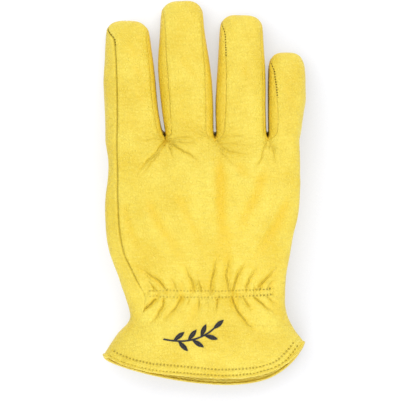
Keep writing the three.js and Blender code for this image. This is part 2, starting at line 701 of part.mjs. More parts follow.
const palm = solidOf(leatherPanel([...fingerPalms, handPalm])).subtract(thumbForm(FIT_GAP));
const hollow = handForm(-WALL, HAND_ROWS.filter((_, k) => k % 2 === 0), HOLLOW_SIDES);
const thumb = (half) => geometryOf(solidOf(leatherPanel([half], thumbNormals)).subtract(hollow));
add("back_panel", leatherPanel([...fingerBacks, handBack]), leather);
add("palm_panel", geometryOf(palm), leather);
forkedStrips.forEach((strip, k) =>
  add(`fork_strip_${FINGER_ORDER[k]}_${FINGER_ORDER[k + 1]}`, leatherPanel([strip]), leather),
);
add("thumb_front", thumb(thumbUpper), leather);
add("thumb_back", thumb(thumbLower), leather);
add("cuff_binding", cuffBinding(), bindingLeather);
add("cuff_facing", cuffFacing(), leather);
add("cuff_motif", cuffMotif(), thread);

// The origin is under the middle of the glove, on the surface that it lies on.
const box = new THREE.Box3().setFromObject(glove);
const middle = box.getCenter(new THREE.Vector3());
glove.position.set(-middle.x, -middle.y, -box.min.z);

export default glove;
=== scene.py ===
import json
import math

import bpy
import numpy as np
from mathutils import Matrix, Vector

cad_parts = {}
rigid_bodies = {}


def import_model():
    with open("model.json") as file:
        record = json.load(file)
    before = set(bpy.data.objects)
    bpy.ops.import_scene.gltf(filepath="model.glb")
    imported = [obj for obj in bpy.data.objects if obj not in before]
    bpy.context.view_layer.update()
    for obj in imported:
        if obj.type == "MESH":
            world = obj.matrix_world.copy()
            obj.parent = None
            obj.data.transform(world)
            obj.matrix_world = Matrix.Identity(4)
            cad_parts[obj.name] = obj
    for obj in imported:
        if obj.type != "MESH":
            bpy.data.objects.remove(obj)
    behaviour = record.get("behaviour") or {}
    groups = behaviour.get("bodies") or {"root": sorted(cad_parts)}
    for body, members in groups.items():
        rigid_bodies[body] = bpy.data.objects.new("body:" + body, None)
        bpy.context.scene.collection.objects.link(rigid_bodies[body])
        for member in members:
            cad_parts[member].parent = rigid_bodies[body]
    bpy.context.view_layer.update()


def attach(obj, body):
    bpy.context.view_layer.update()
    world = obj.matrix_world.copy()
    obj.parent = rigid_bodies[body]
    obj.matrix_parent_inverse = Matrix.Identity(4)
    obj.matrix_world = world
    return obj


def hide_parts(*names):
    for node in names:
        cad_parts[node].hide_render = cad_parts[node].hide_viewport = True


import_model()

# Camera: straight above the glove on a long lens, as in the photograph. The picture is square.
MM = 0.001  # sizes are in millimetres, and Blender's unit is the metre
GLOVE_ORIGIN = np.array([-1.885, 0.501, 0.0])  # from the pattern's own zero to the frame's origin
PIXEL = 0.68  # size of a pixel of the 403 x 403 picture at the glove
PICTURE = 403
PATTERN_ZERO = (201.5, 193.0)  # the pixel where the pattern's own zero lies
CAMERA_HEIGHT = 1500.0
GLOVE_MIDDLE_HEIGHT = 12.0
SENSOR = 36.0


def from_picture(pixels):
    """Picture pixels to the pattern's millimetres: x = (px - zero) * PIXEL, y = (zero - py) * PIXEL."""
    pixels = np.asarray(pixels, float)
    return np.stack(
        [(pixels[..., 0] - PATTERN_ZERO[0]) * PIXEL, (PATTERN_ZERO[1] - pixels[..., 1]) * PIXEL],
        axis=-1,
    )


def seen(points):
    """Where the camera sees points of the pattern, in the picture's millimetres: drawn away from the
    picture's middle by its height over the glove's middle, divided by its height over the point."""
    middle = from_picture((PICTURE / 2, PICTURE / 2))
    closeness = (CAMERA_HEIGHT - GLOVE_MIDDLE_HEIGHT) / (CAMERA_HEIGHT - points[..., 2:])
    return middle + (points[..., :2] - middle) * closeness


picture_middle = from_picture((PICTURE / 2, PICTURE / 2)) + GLOVE_ORIGIN[:2]
lens = bpy.data.cameras.new("camera")
lens.sensor_width = SENSOR
lens.lens = SENSOR * (CAMERA_HEIGHT - GLOVE_MIDDLE_HEIGHT) / (PIXEL * PICTURE)
lens.clip_end = 20.0
camera = bpy.data.objects.new("camera", lens)
camera.location = (picture_middle[0] * MM, picture_middle[1] * MM, CAMERA_HEIGHT * MM)
bpy.context.scene.collection.objects.link(camera)
bpy.context.scene.camera = camera
bpy.context.scene.view_settings.view_transform = "Standard"

# Studio: a glowing white light table, one large soft light overhead and to the right, two weaker cards
# in front and at the left, and pale light from all round. The table's glow is held back on the
# glove's right, where its short shadow falls: a painted shadow, dimmed by ambient occlusion.
FLOOR_HALF = 2.0  # metres
FLOOR_WHITE = "#8c8d92"
FLOOR_GLOW = {"lowest": 0.4, "highest": 0.77, "painted_shade": 0.1, "open": 0.88, "reach": 47.0,
              "lit_from": (-0.6, 0.2, 0.75)}
SKY = {"colour": "#f4f6ff", "strength": 0.6}
SOFTBOXES = {  # places in metres, each aimed at the glove
    "overhead": {"place": (0.42, 0.6, 1.12), "size": 0.8, "watts": 8.1, "colour": "#fffcf6"},
    "fill_card": {"place": (-0.05, -0.9, 0.4), "size": 0.6, "watts": 4.1, "colour": "#ffffff"},
    "side_card": {"place": (-0.6, 0.42, 0.66), "size": 0.5, "watts": 1.15, "colour": "#fffcf6"},
}


def linear(colour):
    """An sRGB hex colour as linear RGBA: c / 12.92 below 0.04045, or else ((c + 0.055) / 1.055) ^ 2.4."""
    srgb = np.array([int(colour[k:k + 2], 16) / 255 for k in (1, 3, 5)])
    rgb = np.where(srgb <= 0.04045, srgb / 12.92, ((srgb + 0.055) / 1.055) ** 2.4)
    return (*rgb.tolist(), 1.0)


def node(tree, kind, settings=None, **inputs):
    """Adds a node, sets its properties, and sets each input or links it to the output given."""
    made = tree.nodes.new(kind)
    for name, value in (settings or {}).items():
        setattr(made, name, value)
    for name, value in inputs.items():
        socket = made.inputs[int(name[1:])] if name[0] == "_" else made.inputs[name.replace("_", " ")]
        if isinstance(value, bpy.types.NodeSocket):
            tree.links.new(value, socket)
        else:
            socket.default_value = value
    return made


def new_material(name):
    """A material with an empty node tree."""
    material = bpy.data.materials.new(name)
    material.use_nodes = True
    material.node_tree.nodes.clear()
    return material, material.node_tree


table_paint, tree = new_material("white_table_painted_shadow")
# Painted shadow: the table's glow dims where ambient occlusion, looked for towards the upper left, finds the
# glove close by.
towards = node(tree, "ShaderNodeCombineXYZ", **dict(zip("XYZ", FLOOR_GLOW["lit_from"])))
open_sky = node(tree, "ShaderNodeAmbientOcclusion", {"samples": 8}, Distance=FLOOR_GLOW["reach"] * MM,
                Normal=towards.outputs["Vector"])
glow = node(tree, "ShaderNodeMapRange", Value=open_sky.outputs["AO"],
            From_Min=FLOOR_GLOW["painted_shade"], From_Max=FLOOR_GLOW["open"],
            To_Min=FLOOR_GLOW["lowest"], To_Max=FLOOR_GLOW["highest"])
paint = node(tree, "ShaderNodeBsdfPrincipled", Base_Color=linear(FLOOR_WHITE), Roughness=0.9,
             Emission_Color=(1.0, 1.0, 1.0, 1.0), Emission_Strength=glow.outputs["Result"])
node(tree, "ShaderNodeOutputMaterial", Surface=paint.outputs["BSDF"])
floor_mesh = bpy.data.meshes.new("table_top")
floor_corners = [(x * FLOOR_HALF, y * FLOOR_HALF, 0) for x, y in ((-1, -1), (1, -1), (1, 1), (-1, 1))]
floor_mesh.from_pydata(floor_corners, [], [(0, 1, 2, 3)])
floor_mesh.materials.append(table_paint)
floor = bpy.data.objects.new("table_top", floor_mesh)
bpy.context.scene.collection.objects.link(floor)

world = bpy.data.worlds.new("studio")
world.use_nodes = True
background = world.node_tree.nodes["Background"]
background.inputs["Color"].default_value = linear(SKY["colour"])
background.inputs["Strength"].default_value = SKY["strength"]
bpy.context.scene.world = world

for name, box in SOFTBOXES.items():
    light = bpy.data.lights.new(name, "AREA")
    light.size = box["size"]
    light.energy = box["watts"]
    light.color = linear(box["colour"])[:3]
    stand = bpy.data.objects.new(name, light)
    stand.location = box["place"]
    stand.rotation_euler = Vector(box["place"]).to_track_quat("Z", "Y").to_euler()
    bpy.context.scene.collection.objects.link(stand)

# Pattern of the glove. The back, the palm and the three forked strips between the fingers are cut
# from soft grain leather about a millimetre thick, bonded to a thin lining, and sewn edge to edge.
# Sections of the hand go down from the finger roots, and those of a finger go up to its tip.
WALL = 2.2  # the leather with its lining
SEAM_GAP = 0.04  # by which a panel's edge is drawn in at a seam
UPPER_SQUARENESS = 2.4  # of a section's back half, where 2 is an ellipse
LOWER_SQUARENESS = 3.2
PALM_SEAM_INSET = 3.5  # from the outline to the seams underneath
ROOT_Y = 35.4  # where the fingers leave the hand
FORK = {"back_length": 6.0, "palm_length": 18.0, "palm_ahead": 6.0, "dimple": 2.5, "valley": 36.0,
        "nearness": 6}
TIP = {"length": 14.0, "width": 3.0, "height": 2.2, "seams_meet": 0.74}
MOUTH = {"lowest": 0.3, "left": 1.6, "right": 3.0, "lip": 5.0}
ELASTIC_DOWN = 104.0  # from the roots
PULL = {"share": 0.05, "reach": 24.0}
TURN = 2 * math.pi
FINGER_ROW = 0.9  # spacing of a finger's rows
ROOT_ROWS = {"length": 9.0, "count": 15}  # the finger's first, closer rows
HAND_ROWS = [(0, 26, 0.7), (26, 84, 1.05), (84, 161, 0.75)]  # from, to and spacing


def table(columns, rows):
    """A table as a dict of arrays, one for each named column."""
    return dict(zip(columns.split(), np.array(rows, float).T))


HAND = table("down left_x left_y right_x right_y sag seam", [
    (0.0, -64.3, 35.4, 66.3, 35.4, 0.0, 7.5),
    (16.4, -62.4, 19.0, 66.4, 19.0, 0.0, 6.0),
    (43.6, -65.4, -8.2, 65.6, -8.2, 0.0, 9.2),
    (74.2, -62.4, -38.8, 60.4, -38.8, 0.0, 9.8),
    (91.8, -56.1, -56.8, 57.5, -55.4, 0.0, 11.6),
    (104.0, -51.3, -71.2, 57.0, -66.4, 0.0, 13.0),
    (119.0, -48.6, -85.0, 58.3, -81.4, 1.5, 7.0),
    (137.0, -56.8, -96.0, 62.9, -91.6, 8.5, 4.0),
    (161.0, -65.8, -109.4, 69.4, -100.6, 20.5, 3.0),
])
HAND_HEIGHTS = table("down crown side floor", [
    (0.0, 34.0, 21.5, 11.5),
    (16.4, 37.5, 24.0, 15.4),
    (43.6, 39.0, 25.0, 16.4),
    (74.2, 36.5, 23.0, 14.6),
    (91.8, 31.5, 18.0, 9.6),
    (104.0, 27.5, 14.0, 5.8),
    (119.0, 26.6, 10.8, 2.8),
    (137.0, 27.6, 9.4, 1.0),
    (161.0, 28.2, 9.0, 0.8),
])
FINGER_COLUMNS = "y left right seam_left seam_right"
FINGERS = {
    "index": table(FINGER_COLUMNS, [
        (35.4, -64.3, -25.1, 7.5, 2.5),
        (53.7, -64.9, -28.9, 8.3, 3.0),
        (78.2, -66.2, -31.6, 8.8, 3.0),
        (98.6, -66.2, -34.0, 7.5, 2.5),
        (117.3, -65.2, -36.4, 4.0, 2.0),
    ]),
    "middle": table(FINGER_COLUMNS, [
        (35.4, -23.8, 8.4, 3.5, 4.5),
        (61.9, -27.5, 7.8, 6.1, 5.1),
        (86.4, -29.4, 5.8, 6.1, 3.6),
        (110.8, -28.4, 2.0, 3.5, 1.8),
        (130.9, -27.2, 0.4, 2.0, 1.5),
    ]),
    "ring": table(FINGER_COLUMNS, [
        (35.4, 9.8, 44.0, 5.0, 2.0),
        (57.8, 9.4, 43.6, 6.8, 1.8),
        (78.2, 10.5, 43.6, 6.2, 1.8),
        (104.0, 11.9, 42.2, 3.7, 1.8),
        (121.5, 13.0, 41.1, 2.0, 1.5),
    ]),
    "little": table(FINGER_COLUMNS, [
        (35.4, 45.4, 66.3, 4.5, 3.5),
        (49.6, 44.9, 68.3, 6.4, 3.5),
        (66.0, 44.9, 70.4, 5.8, 3.5),
        (82.3, 45.3, 70.7, 3.7, 3.5),
        (95.9, 46.4, 69.7, 2.0, 2.0),
    ]),
}
FINGER_ORDER = ["index", "middle", "ring", "little"]
FINGER_HEIGHTS = table("share crown side floor", [
    (0.0, 33.0, 21.5, 11.5),
    (0.25, 29.0, 17.2, 7.4),
    (0.5, 24.2, 12.6, 3.2),
    (0.75, 20.4, 9.6, 0.2),
    (1.0, 18.0, 8.8, -0.6),
])
BACK_COLUMNS = 34  # over one finger's back
PALM_COLUMNS = 22  # under one finger
SIDE_COLUMNS = 14  # round an outer side of the hand
STRIP_COLUMNS = 10  # across half of a forked strip
SPACED = {"samples": 400, "up": 30.0}  # where a finger's columns are spaced, up from its root


def along(rows, column, place):
    """A table's column between its rows: a cubic through them, whose slope at a row is the slope
    between the rows on both sides of it. The first column says where the rows are."""
    x, v = next(iter(rows.values())), rows[column]
    before, after = np.maximum(np.arange(len(x)) - 1, 0), np.minimum(np.arange(len(x)) + 1, len(x) - 1)
    slope = (v[after] - v[before]) / (x[after] - x[before])
    i = np.clip(np.searchsorted(x, place, "left") - 1, 0, len(x) - 2)
    span = x[i + 1] - x[i]
    t = np.clip((place - x[i]) / span, 0, 1)
    return (
        v[i] * (1 + 2 * t) * (1 - t) ** 2
        + v[i + 1] * t * t * (3 - 2 * t)
        + span * t * (1 - t) * (slope[i] * (1 - t) - slope[i + 1] * t)
    )


def smooth(value, low, high):
    """0 below low and 1 above high, with t * t * (3 - 2 t) between."""
    t = np.clip((value - low) / (high - low), 0, 1)
    return t * t * (3 - 2 * t)


def signed_power(value, power):
    """A power of the value's size, with the value's own sign."""
    return np.sign(value) * np.abs(value) ** power


def unit(vectors):
    """Vectors made one long."""
    return vectors / np.maximum(np.linalg.norm(vectors, axis=-1, keepdims=True), 1e-12)


def travelled(line):
    """How far along a line of points each of them is."""
    return np.concatenate([[0], np.cumsum(np.linalg.norm(np.diff(line, axis=0), axis=1))])


def listed(patches):
    """The points of patches as one list."""
    return np.concatenate([patch.reshape(-1, 3) for patch in patches])


def section(angle):
    """Across and up of a section's point, from -1 to 1: cosine and sine, each to the power 2 over
    the squareness, which is lower for the back's half than for the palm's."""
    power = 2 / np.where(np.sin(angle) >= 0, UPPER_SQUARENESS, LOWER_SQUARENESS)
    return signed_power(np.cos(angle), power), signed_power(np.sin(angle), power)


def angle_across(across, upper):
    """The angle in the upper or lower half of a section whose point is that far across."""
    power = np.where(upper, UPPER_SQUARENESS, LOWER_SQUARENESS) / 2
    angle = np.arccos(np.clip(signed_power(across, power), -1, 1))
    return np.where(upper, angle, TURN - angle)


def height_at(rows, place, up):
    """A section's height at a share up or down from its side."""
    side = along(rows, "side", place)
    span = np.where(up > 0, along(rows, "crown", place) - side, side - along(rows, "floor", place))
    return side + up * span


def hand_point(angle, down):
    """The hand's surface: a section's point between the outline's two sides, hanging lower in its
    middle towards the cuff's edge, and lower still on the palm."""
    across, up = section(angle)
    share = (across + 1) / 2
    aside = across - MOUTH["lowest"]
    left = np.clip(-aside / (1 + MOUTH["lowest"]), 0, 1) ** MOUTH["left"]
    right = np.clip(aside / (1 - MOUTH["lowest"]), 0, 1) ** MOUTH["right"]
    sag = along(HAND, "sag", down)
    lip = MOUTH["lip"] * np.maximum(0, -up) * sag / HAND["sag"][-1]
    x = along(HAND, "left_x", down) * (1 - share) + along(HAND, "right_x", down) * share
    y = along(HAND, "left_y", down) * (1 - share) + along(HAND, "right_y", down) * share
    return np.stack([x, y - sag * (1 - left - right) - lip, height_at(HAND_HEIGHTS, down, up)], axis=-1)


def hand_seams(down):
    """The angles of the hand's two side seams: the index side's is on the back, the other's below."""
    half = (along(HAND, "right_x", down) - along(HAND, "left_x", down)) / 2
    start = angle_across(along(HAND, "seam", down) / half - 1, True)
    return start, angle_across(1 - PALM_SEAM_INSET / half, False) - TURN


def tip_shares(y, tip):
    """The shares of a fingertip's width and height left at y, each (1 - t ^ n) ^ (1 / n) over the
    tip's length, and the share of its seams' inset."""
    t = np.clip((y - tip + TIP["length"]) / TIP["length"], 0, 1)
    width = (1 - t ** TIP["width"]) ** (1 / TIP["width"])
    height = (1 - t ** TIP["height"]) ** (1 / TIP["height"])
    return width, height, 1 - smooth(t, 0, TIP["seams_meet"])


def finger_point(name, angle, y):
    """A finger's surface: a section's point between its two outlines, resting on the table."""
    rows = FINGERS[name]
    tip = rows["y"][-1]
    share = (y - ROOT_Y) / (tip - ROOT_Y)
    left, right = along(rows, "left", y), along(rows, "right", y)
    across, up = section(angle)
    width, height, _ = tip_shares(y, tip)
    x = (left + right) / 2 + across * width * (right - left) / 2
    z = np.maximum(0, height_at(FINGER_HEIGHTS, share, up * height))
    return np.stack(np.broadcast_arrays(x, y, z), axis=-1)


def finger_seams(name, y):
    """The angles of a finger's four seams, all the way round from the back's left seam."""
    rows = FINGERS[name]
    half = (along(rows, "right", y) - along(rows, "left", y)) / 2
    inset = tip_shares(y, rows["y"][-1])[2] / half
    back_left = angle_across(along(rows, "seam_left", y) * inset - 1, True)
    return {
        "back_left": back_left,
        "back_right": angle_across(1 - along(rows, "seam_right", y) * inset, True),
        "palm_right": angle_across(1 - PALM_SEAM_INSET * inset, False) - TURN,
        "palm_left": angle_across(PALM_SEAM_INSET * inset - 1, False) - TURN,
        "back_left_again": back_left - TURN,
    }


def finger_between(name, seam_from, seam_to, share, y):
    """A finger's point at a share of the way from one of its seams to another."""
    seams = finger_seams(name, y)
    return finger_point(name, seams[seam_from] * (1 - share) + seams[seam_to] * share, y)


def fork_point(left_name, right_name, left_seam, right_seam, lift, ahead):
    """Where the panels meet between two fingers: midway between their outlines and seams, moved up
    and towards the fingertips."""
    root = np.array(ROOT_Y)
    heights = [
        finger_point(name, finger_seams(name, root)[seam], root)[2]
        for name, seam in ((left_name, left_seam), (right_name, right_seam))
    ]
    x = (FINGERS[left_name]["right"][0] + FINGERS[right_name]["left"][0]) / 2
    return np.array([x, ROOT_Y + ahead, sum(heights) / 2 + lift])


neighbours = list(zip(FINGER_ORDER[:-1], FINGER_ORDER[1:]))
back_forks = [fork_point(a, b, "back_right", "back_left", -FORK["dimple"], 0.0) for a, b in neighbours]
palm_forks = [
    fork_point(a, b, "palm_right", "palm_left", FORK["dimple"] / 2, FORK["palm_ahead"]) for a, b in neighbours
]


def fork_hold(y, length):
    """How much a fork still holds a finger at y: the square of what is left of the fork's length."""
    return np.maximum(0, 1 - (y - ROOT_Y) / length) ** 2


def tip_rows(rounding, step):
    """Rows over a rounded tip, beyond the row where it starts to round: by the sine of even turns, as
    many as an arc half as long again as the tip has room for."""
    turning = np.radians(np.linspace(0, 90, round(TIP["length"] * 1.5 / step) + 1))
    return rounding + TIP["length"] * np.sin(turning[1:])


def finger_rows(name):
    """Rows of a finger from root to tip, closer together by the root and where its tip rounds off."""
    rounding = FINGERS[name]["y"][-1] - TIP["length"]
    free = ROOT_Y + ROOT_ROWS["length"]
    by_root = np.linspace(ROOT_Y, free, ROOT_ROWS["count"] + 1)[:-1]
    straight = np.linspace(free, rounding, round((rounding - free) / FINGER_ROW) + 1)
    return np.concatenate([by_root, straight, tip_rows(rounding, FINGER_ROW)])


def even_shares(name, seam_from, seam_to, columns):
    """Shares of a finger's angle from one seam to another that space its columns evenly."""
    share = np.linspace(0, 1, SPACED["samples"])
    y = np.full(len(share), ROOT_Y + SPACED["up"])
    length = travelled(finger_between(name, seam_from, seam_to, share, y))
    return np.interp(np.linspace(0, length[-1], columns + 1), length, share)


def finger_panel(name, seam_from, seam_to, columns, forks, length):
    """A finger's part of a panel, between two seams. Near the root its edges are drawn in to the
    forks, by the fork's hold times a power of the nearness to that edge."""
    y, share = np.meshgrid(finger_rows(name), even_shares(name, seam_from, seam_to, columns), indexing="ij")
    points = finger_between(name, seam_from, seam_to, share, y)
    for fork, edge in zip(forks, (0.0, 1.0)):
        if fork is not None:
            free = finger_between(name, seam_from, seam_to, np.array(edge), np.array(ROOT_Y))
            hold = fork_hold(y, length) * np.abs(1 - edge - share) ** FORK["nearness"]
            points = points + (fork - free) * hold[..., None]
    return points


def hand_panel(root_row, bounds, pull):
    """The hand's part of a panel, down from the finger roots. A column keeps its share of the way
    round and shifts to even spacing at the elastic, which draws the columns in. The step from the
    fingers' roots to the hand's section dies out as the square of what is left of the valleys."""
    down = np.concatenate([np.linspace(a, b, round((b - a) / step) + 1)[a > 0:] for a, b, step in HAND_ROWS])
    start, end = bounds(np.array(0.0))
    half = (HAND["right_x"][0] - HAND["left_x"][0]) / 2
    middle = (HAND["right_x"][0] + HAND["left_x"][0]) / 2
    turned = angle_across((root_row[:, 0] - middle) / half, root_row[:, 2] > HAND_HEIGHTS["side"][0])
    angle = np.where(turned <= start + 1e-9, turned, turned - TURN)
    share = (start - angle) / (start - end)
    share[0], share[-1] = 0.0, 1.0
    even = np.linspace(0, 1, len(share))

    def surface(down):
        """The panel's rows that far down, before the step from the fingers' roots."""
        start, end = (b[:, None] for b in bounds(down))
        settle = smooth(down, 0, ELASTIC_DOWN)[:, None]
        columns = share * (1 - settle) + even * settle
        near = np.exp(-(((down - ELASTIC_DOWN) / PULL["reach"]) ** 2))[:, None]
        columns = columns + pull * near * np.sin(TURN * columns)
        return hand_point(start * (1 - columns) + end * columns, down[:, None])

    left = np.maximum(0, 1 - down / FORK["valley"]) ** 2
    points = surface(down) + left[:, None, None] * (root_row - surface(np.zeros(1))[0])
    return points[::-1], down[::-1]


def forked_strip(k):
    """The strip between two fingers: down the left one's right side, through the fork and up the
    right one's left side. Near the fork it is drawn to the straight line between the fork points."""
    halves = []
    for name, seam_from, seam_to in (
        (FINGER_ORDER[k], "palm_right", "back_right"),
        (FINGER_ORDER[k + 1], "palm_left", "back_left_again"),
    ):
        share = even_shares(name, seam_from, seam_to, STRIP_COLUMNS)
        y, share = np.meshgrid(finger_rows(name), share, indexing="ij")
        points = finger_between(name, seam_from, seam_to, share, y)
        free = finger_between(name, seam_from, seam_to, share[0], np.full(len(share[0]), ROOT_Y))
        held = palm_forks[k] * (1 - share[0][:, None]) + back_forks[k] * share[0][:, None]
        length = FORK["palm_length"] * (1 - share) + FORK["back_length"] * share
        halves.append(points + (held - free) * fork_hold(y, length)[..., None])
    return np.concatenate([halves[0][::-1], halves[1][1:]])


def joined_roots(panels):
    """The finger panels' root rows as one row, with the shared fork points once."""
    return np.concatenate([panel[0][int(k > 0):] for k, panel in enumerate(panels)])


def forks_beside(forks, k):
    """The forks on the left and right of a finger, or None beside an outer side of the hand."""
    return (forks[k - 1] if k > 0 else None, forks[k] if k < len(forks) else None)


def palm_bounds(down):
    """The angles of the palm's two sides, from the little finger's seam round to the index finger's."""
    start, end = hand_seams(down)
    return end, start - TURN


finger_backs = [
    finger_panel(
        name, "back_left", "palm_right" if name == "little" else "back_right",
        BACK_COLUMNS + (SIDE_COLUMNS if name == "little" else 0), forks_beside(back_forks, k),
        FORK["back_length"],
    )
    for k, name in enumerate(FINGER_ORDER)
]
finger_palms = [
    finger_panel(
        name, "palm_right", "back_left_again" if name == "index" else "palm_left",
        PALM_COLUMNS + (SIDE_COLUMNS if name == "index" else 0), forks_beside(palm_forks, k)[::-1],
        FORK["palm_length"],
    )
    for k, name in enumerate(FINGER_ORDER)
][::-1]
hand_back, hand_downs = hand_panel(joined_roots(finger_backs), hand_seams, PULL["share"])
hand_palm, _ = hand_panel(joined_roots(finger_palms), palm_bounds, 0.0)
strips = [forked_strip(k) for k in range(len(neighbours))]

MOUTH_LINE = [  # the back's edge at the mouth, in the picture's pixels
    (100, 351), (106, 356.5), (120, 361.5), (135, 366.3), (150, 370), (165, 372), (180, 373.3), (200, 375),
    (220, 376.3), (240, 376), (255, 374), (269, 370.2), (280, 365.5), (289, 359), (296, 351), (306, 338),
]
MOUTH_SHIFT = {"most": 2.6, "over": 26.0, "blend": 10.0}


def mouth_moved(points):
    """Moves the back's edge at the mouth, where the camera sees it, onto the line it has in the
    picture. The shift dies out smoothly up the cuff and towards both side ends of the edge."""
    edge = seen(points[0])
    line = from_picture(MOUTH_LINE)
    shift = np.interp(edge[:, 0], line[:, 0], line[:, 1]) - edge[:, 1]
    ends = np.minimum(edge[:, 0] - edge[:, 0].min(), edge[:, 0].max() - edge[:, 0])
    shift = np.clip(shift, -MOUTH_SHIFT["most"], MOUTH_SHIFT["most"]) * smooth(ends, 0, MOUTH_SHIFT["blend"])
    up = np.concatenate([[0], np.cumsum(np.linalg.norm(np.diff(points, axis=0), axis=2).mean(axis=1))])
    moved = points.copy()
    moved[..., 1] += shift * (1 - smooth(up, 0, MOUTH_SHIFT["over"]))[:, None]
    return moved


hand_back = mouth_moved(hand_back)

WELD = 1e-3  # points nearer than this are the same


def cell_faces(a, b, c, d):
    """The two triangles of each cell whose corners, in turn, have these indices."""
    return [np.stack([a, b, c], -1).reshape(-1, 3), np.stack([a, c, d], -1).reshape(-1, 3)]


def weld(patches):
    """Joins grids of points into one sheet. Returns the first copy of each point, the joined index of
    each copy, and the triangles: each cell's two, without those that have collapsed."""
    rounded = np.round(listed(patches) / WELD).astype(np.int64)
    _, first, joined = np.unique(rounded, axis=0, return_index=True, return_inverse=True)
    joined = joined.reshape(-1)
    faces, start = [], 0
    for patch in patches:
        rows, columns = patch.shape[:2]
        grid = joined[start:start + rows * columns].reshape(rows, columns)
        faces += cell_faces(grid[:-1, :-1], grid[:-1, 1:], grid[1:, 1:], grid[1:, :-1])
        start += rows * columns
    faces = np.concatenate(faces)
    whole = (faces[:, 0] != faces[:, 1]) & (faces[:, 1] != faces[:, 2]) & (faces[:, 2] != faces[:, 0])
    return first, joined, faces[whole]


def sheet_normals(points, faces):
    """The outward normal at each point: the sum of its faces' cross products, made one long."""
    p, q, r = (points[faces[:, k]] for k in range(3))
    square = np.cross(q - p, r - p)
    total = np.stack([
        np.bincount(faces.reshape(-1), np.repeat(square[:, k], 3), len(points)) for k in range(3)
    ], axis=-1)
    return unit(total)


every_patch = [*finger_backs, hand_back, *finger_palms, hand_palm, *strips]
first, joined, faces = weld(every_patch)
joined_normals = sheet_normals(listed(every_patch)[first], faces)[joined]
patch_ends = np.cumsum([patch.shape[0] * patch.shape[1] for patch in every_patch])
patch_normals = [
    n.reshape(patch.shape) for n, patch in zip(np.split(joined_normals, patch_ends[:-1]), every_patch)
]
back_normals, palm_normals, strip_normals = patch_normals[:5], patch_normals[5:10], patch_normals[10:]

# Relief of the leather: its creases, dents, folds, puckers, gathers and seams, and where its rows of
# stitches run. A crease is a valley with a soft shoulder on each side, at full depth where it leaves
# a seam or the elastic. A dent is a wider valley without shoulders, and a fold is a ridge on its
# path's right with a valley on its left. All fade out along their paths, given in picture pixels.
CREASES = [  # depth, width and path
    # from the first crotch over the index and middle knuckles
    (0.75, 1.1, [(164.5, 142), (157.3, 151), (149.3, 159), (138.6, 171), (130, 184)]),
    (0.55, 1.0, [(166, 142.5), (159, 153.5), (150, 165), (139, 177), (131, 188)]),
    (0.55, 1.0, [(167, 142.5), (170.5, 152), (174.5, 166)]),
    (0.8, 1.3, [(168, 141.5), (178, 148), (192, 155.5), (203, 164.5), (211, 173)]),
    (0.45, 0.9, [(168, 140), (181, 137.5), (196, 137.5), (209, 141)]),
    (0.45, 0.9, [(169, 142), (188, 142.8), (203, 144.6), (213, 146.5)]),
    (0.35, 0.9, [(212, 140), (203, 134), (193, 130), (184, 129)]),
    (0.3, 0.9, [(209, 134), (200, 127), (190, 123.5)]),
    (0.35, 0.9, [(163, 140), (152, 139.5), (140, 141), (126, 143)]),
    (0.25, 0.9, [(162, 137), (150, 133), (138, 134)]),
    # from the second crotch over the ring knuckle
    (0.55, 1.2, [(217, 141), (225, 148.5), (238, 152.5), (253, 152.5), (263, 149)]),
    (0.35, 0.9, [(217, 139), (231, 135.7), (249, 137.5), (262, 141)]),
    (0.3, 0.9, [(219, 143), (233, 143.5), (248, 145), (262, 145)]),
    (0.45, 1.2, [(217, 142), (222, 153), (233, 164), (246, 170)]),
    # from the third crotch
    (0.6, 1.1, [(266, 144), (261.8, 158), (254.6, 171), (248, 182)]),
    (0.6, 1.0, [(269.5, 144), (274, 155), (277, 171)]),
    (0.3, 1.0, [(270, 142), (278, 149), (290, 152)]),
    # above the elastic
    (1.3, 1.7, [(166, 292), (159.3, 282), (149, 274.5), (138.7, 267), (130, 258)]),
    (0.9, 1.2, [(158, 292), (151, 283.5), (143, 277)]),
    (0.7, 1.3, [(178, 292), (173, 283), (166, 275)]),
    (1.0, 1.9, [(193, 292), (191.5, 280), (185, 267), (180, 255)]),
    (0.8, 1.2, [(201, 292), (199, 281), (196, 271)]),
    (1.1, 1.7, [(210.5, 292), (211.5, 282), (215.5, 263), (218, 246)]),
    (1.0, 2.2, [(228.6, 292), (227, 276), (228.6, 262), (230, 240)]),
    (1.1, 1.4, [(233, 291), (236, 280), (245, 263), (251, 254)]),
    (1.0, 1.5, [(246.3, 291), (248.5, 281), (254.5, 273), (263, 262)]),
    (1.1, 1.5, [(256.7, 291), (265, 281), (277, 269), (284, 260)]),
    (0.6, 1.2, [(265, 291), (272, 284), (281, 276)]),
    # below the elastic
    (1.3, 1.4, [(155, 300), (146, 308), (138, 314), (130, 321)]),
    (1.0, 1.4, [(163.7, 299), (162, 308), (154, 319), (144, 329)]),
    (1.1, 1.6, [(181.4, 298), (177, 306), (168, 315.5), (159, 323)]),
    (0.9, 1.3, [(198.4, 297), (199, 305), (197.5, 316)]),
    (0.9, 1.4, [(218.3, 297), (217, 307), (215, 318)]),
    (1.3, 1.9, [(231.6, 297), (236, 308), (243.4, 318.5), (253.7, 329), (267, 341)]),
    (0.8, 1.2, [(243.4, 297), (249, 306), (257, 313)]),
    (1.1, 1.5, [(253.7, 296), (262.6, 304), (274.5, 313), (283, 319)]),
    (0.6, 1.2, [(264, 295), (273, 301), (283, 306)]),
    (0.5, 1.2, [(190, 297), (188, 304), (184, 312)]),
    (0.5, 1.1, [(208, 297), (208, 304), (207, 311)]),
    # the sharp tuck at the elastic's index end
    (0.8, 1.1, [(166, 291), (167.5, 294.5), (163, 300)]),
    (0.7, 1.0, [(148, 291.5), (153, 291), (158, 294.5), (154, 300)]),
]
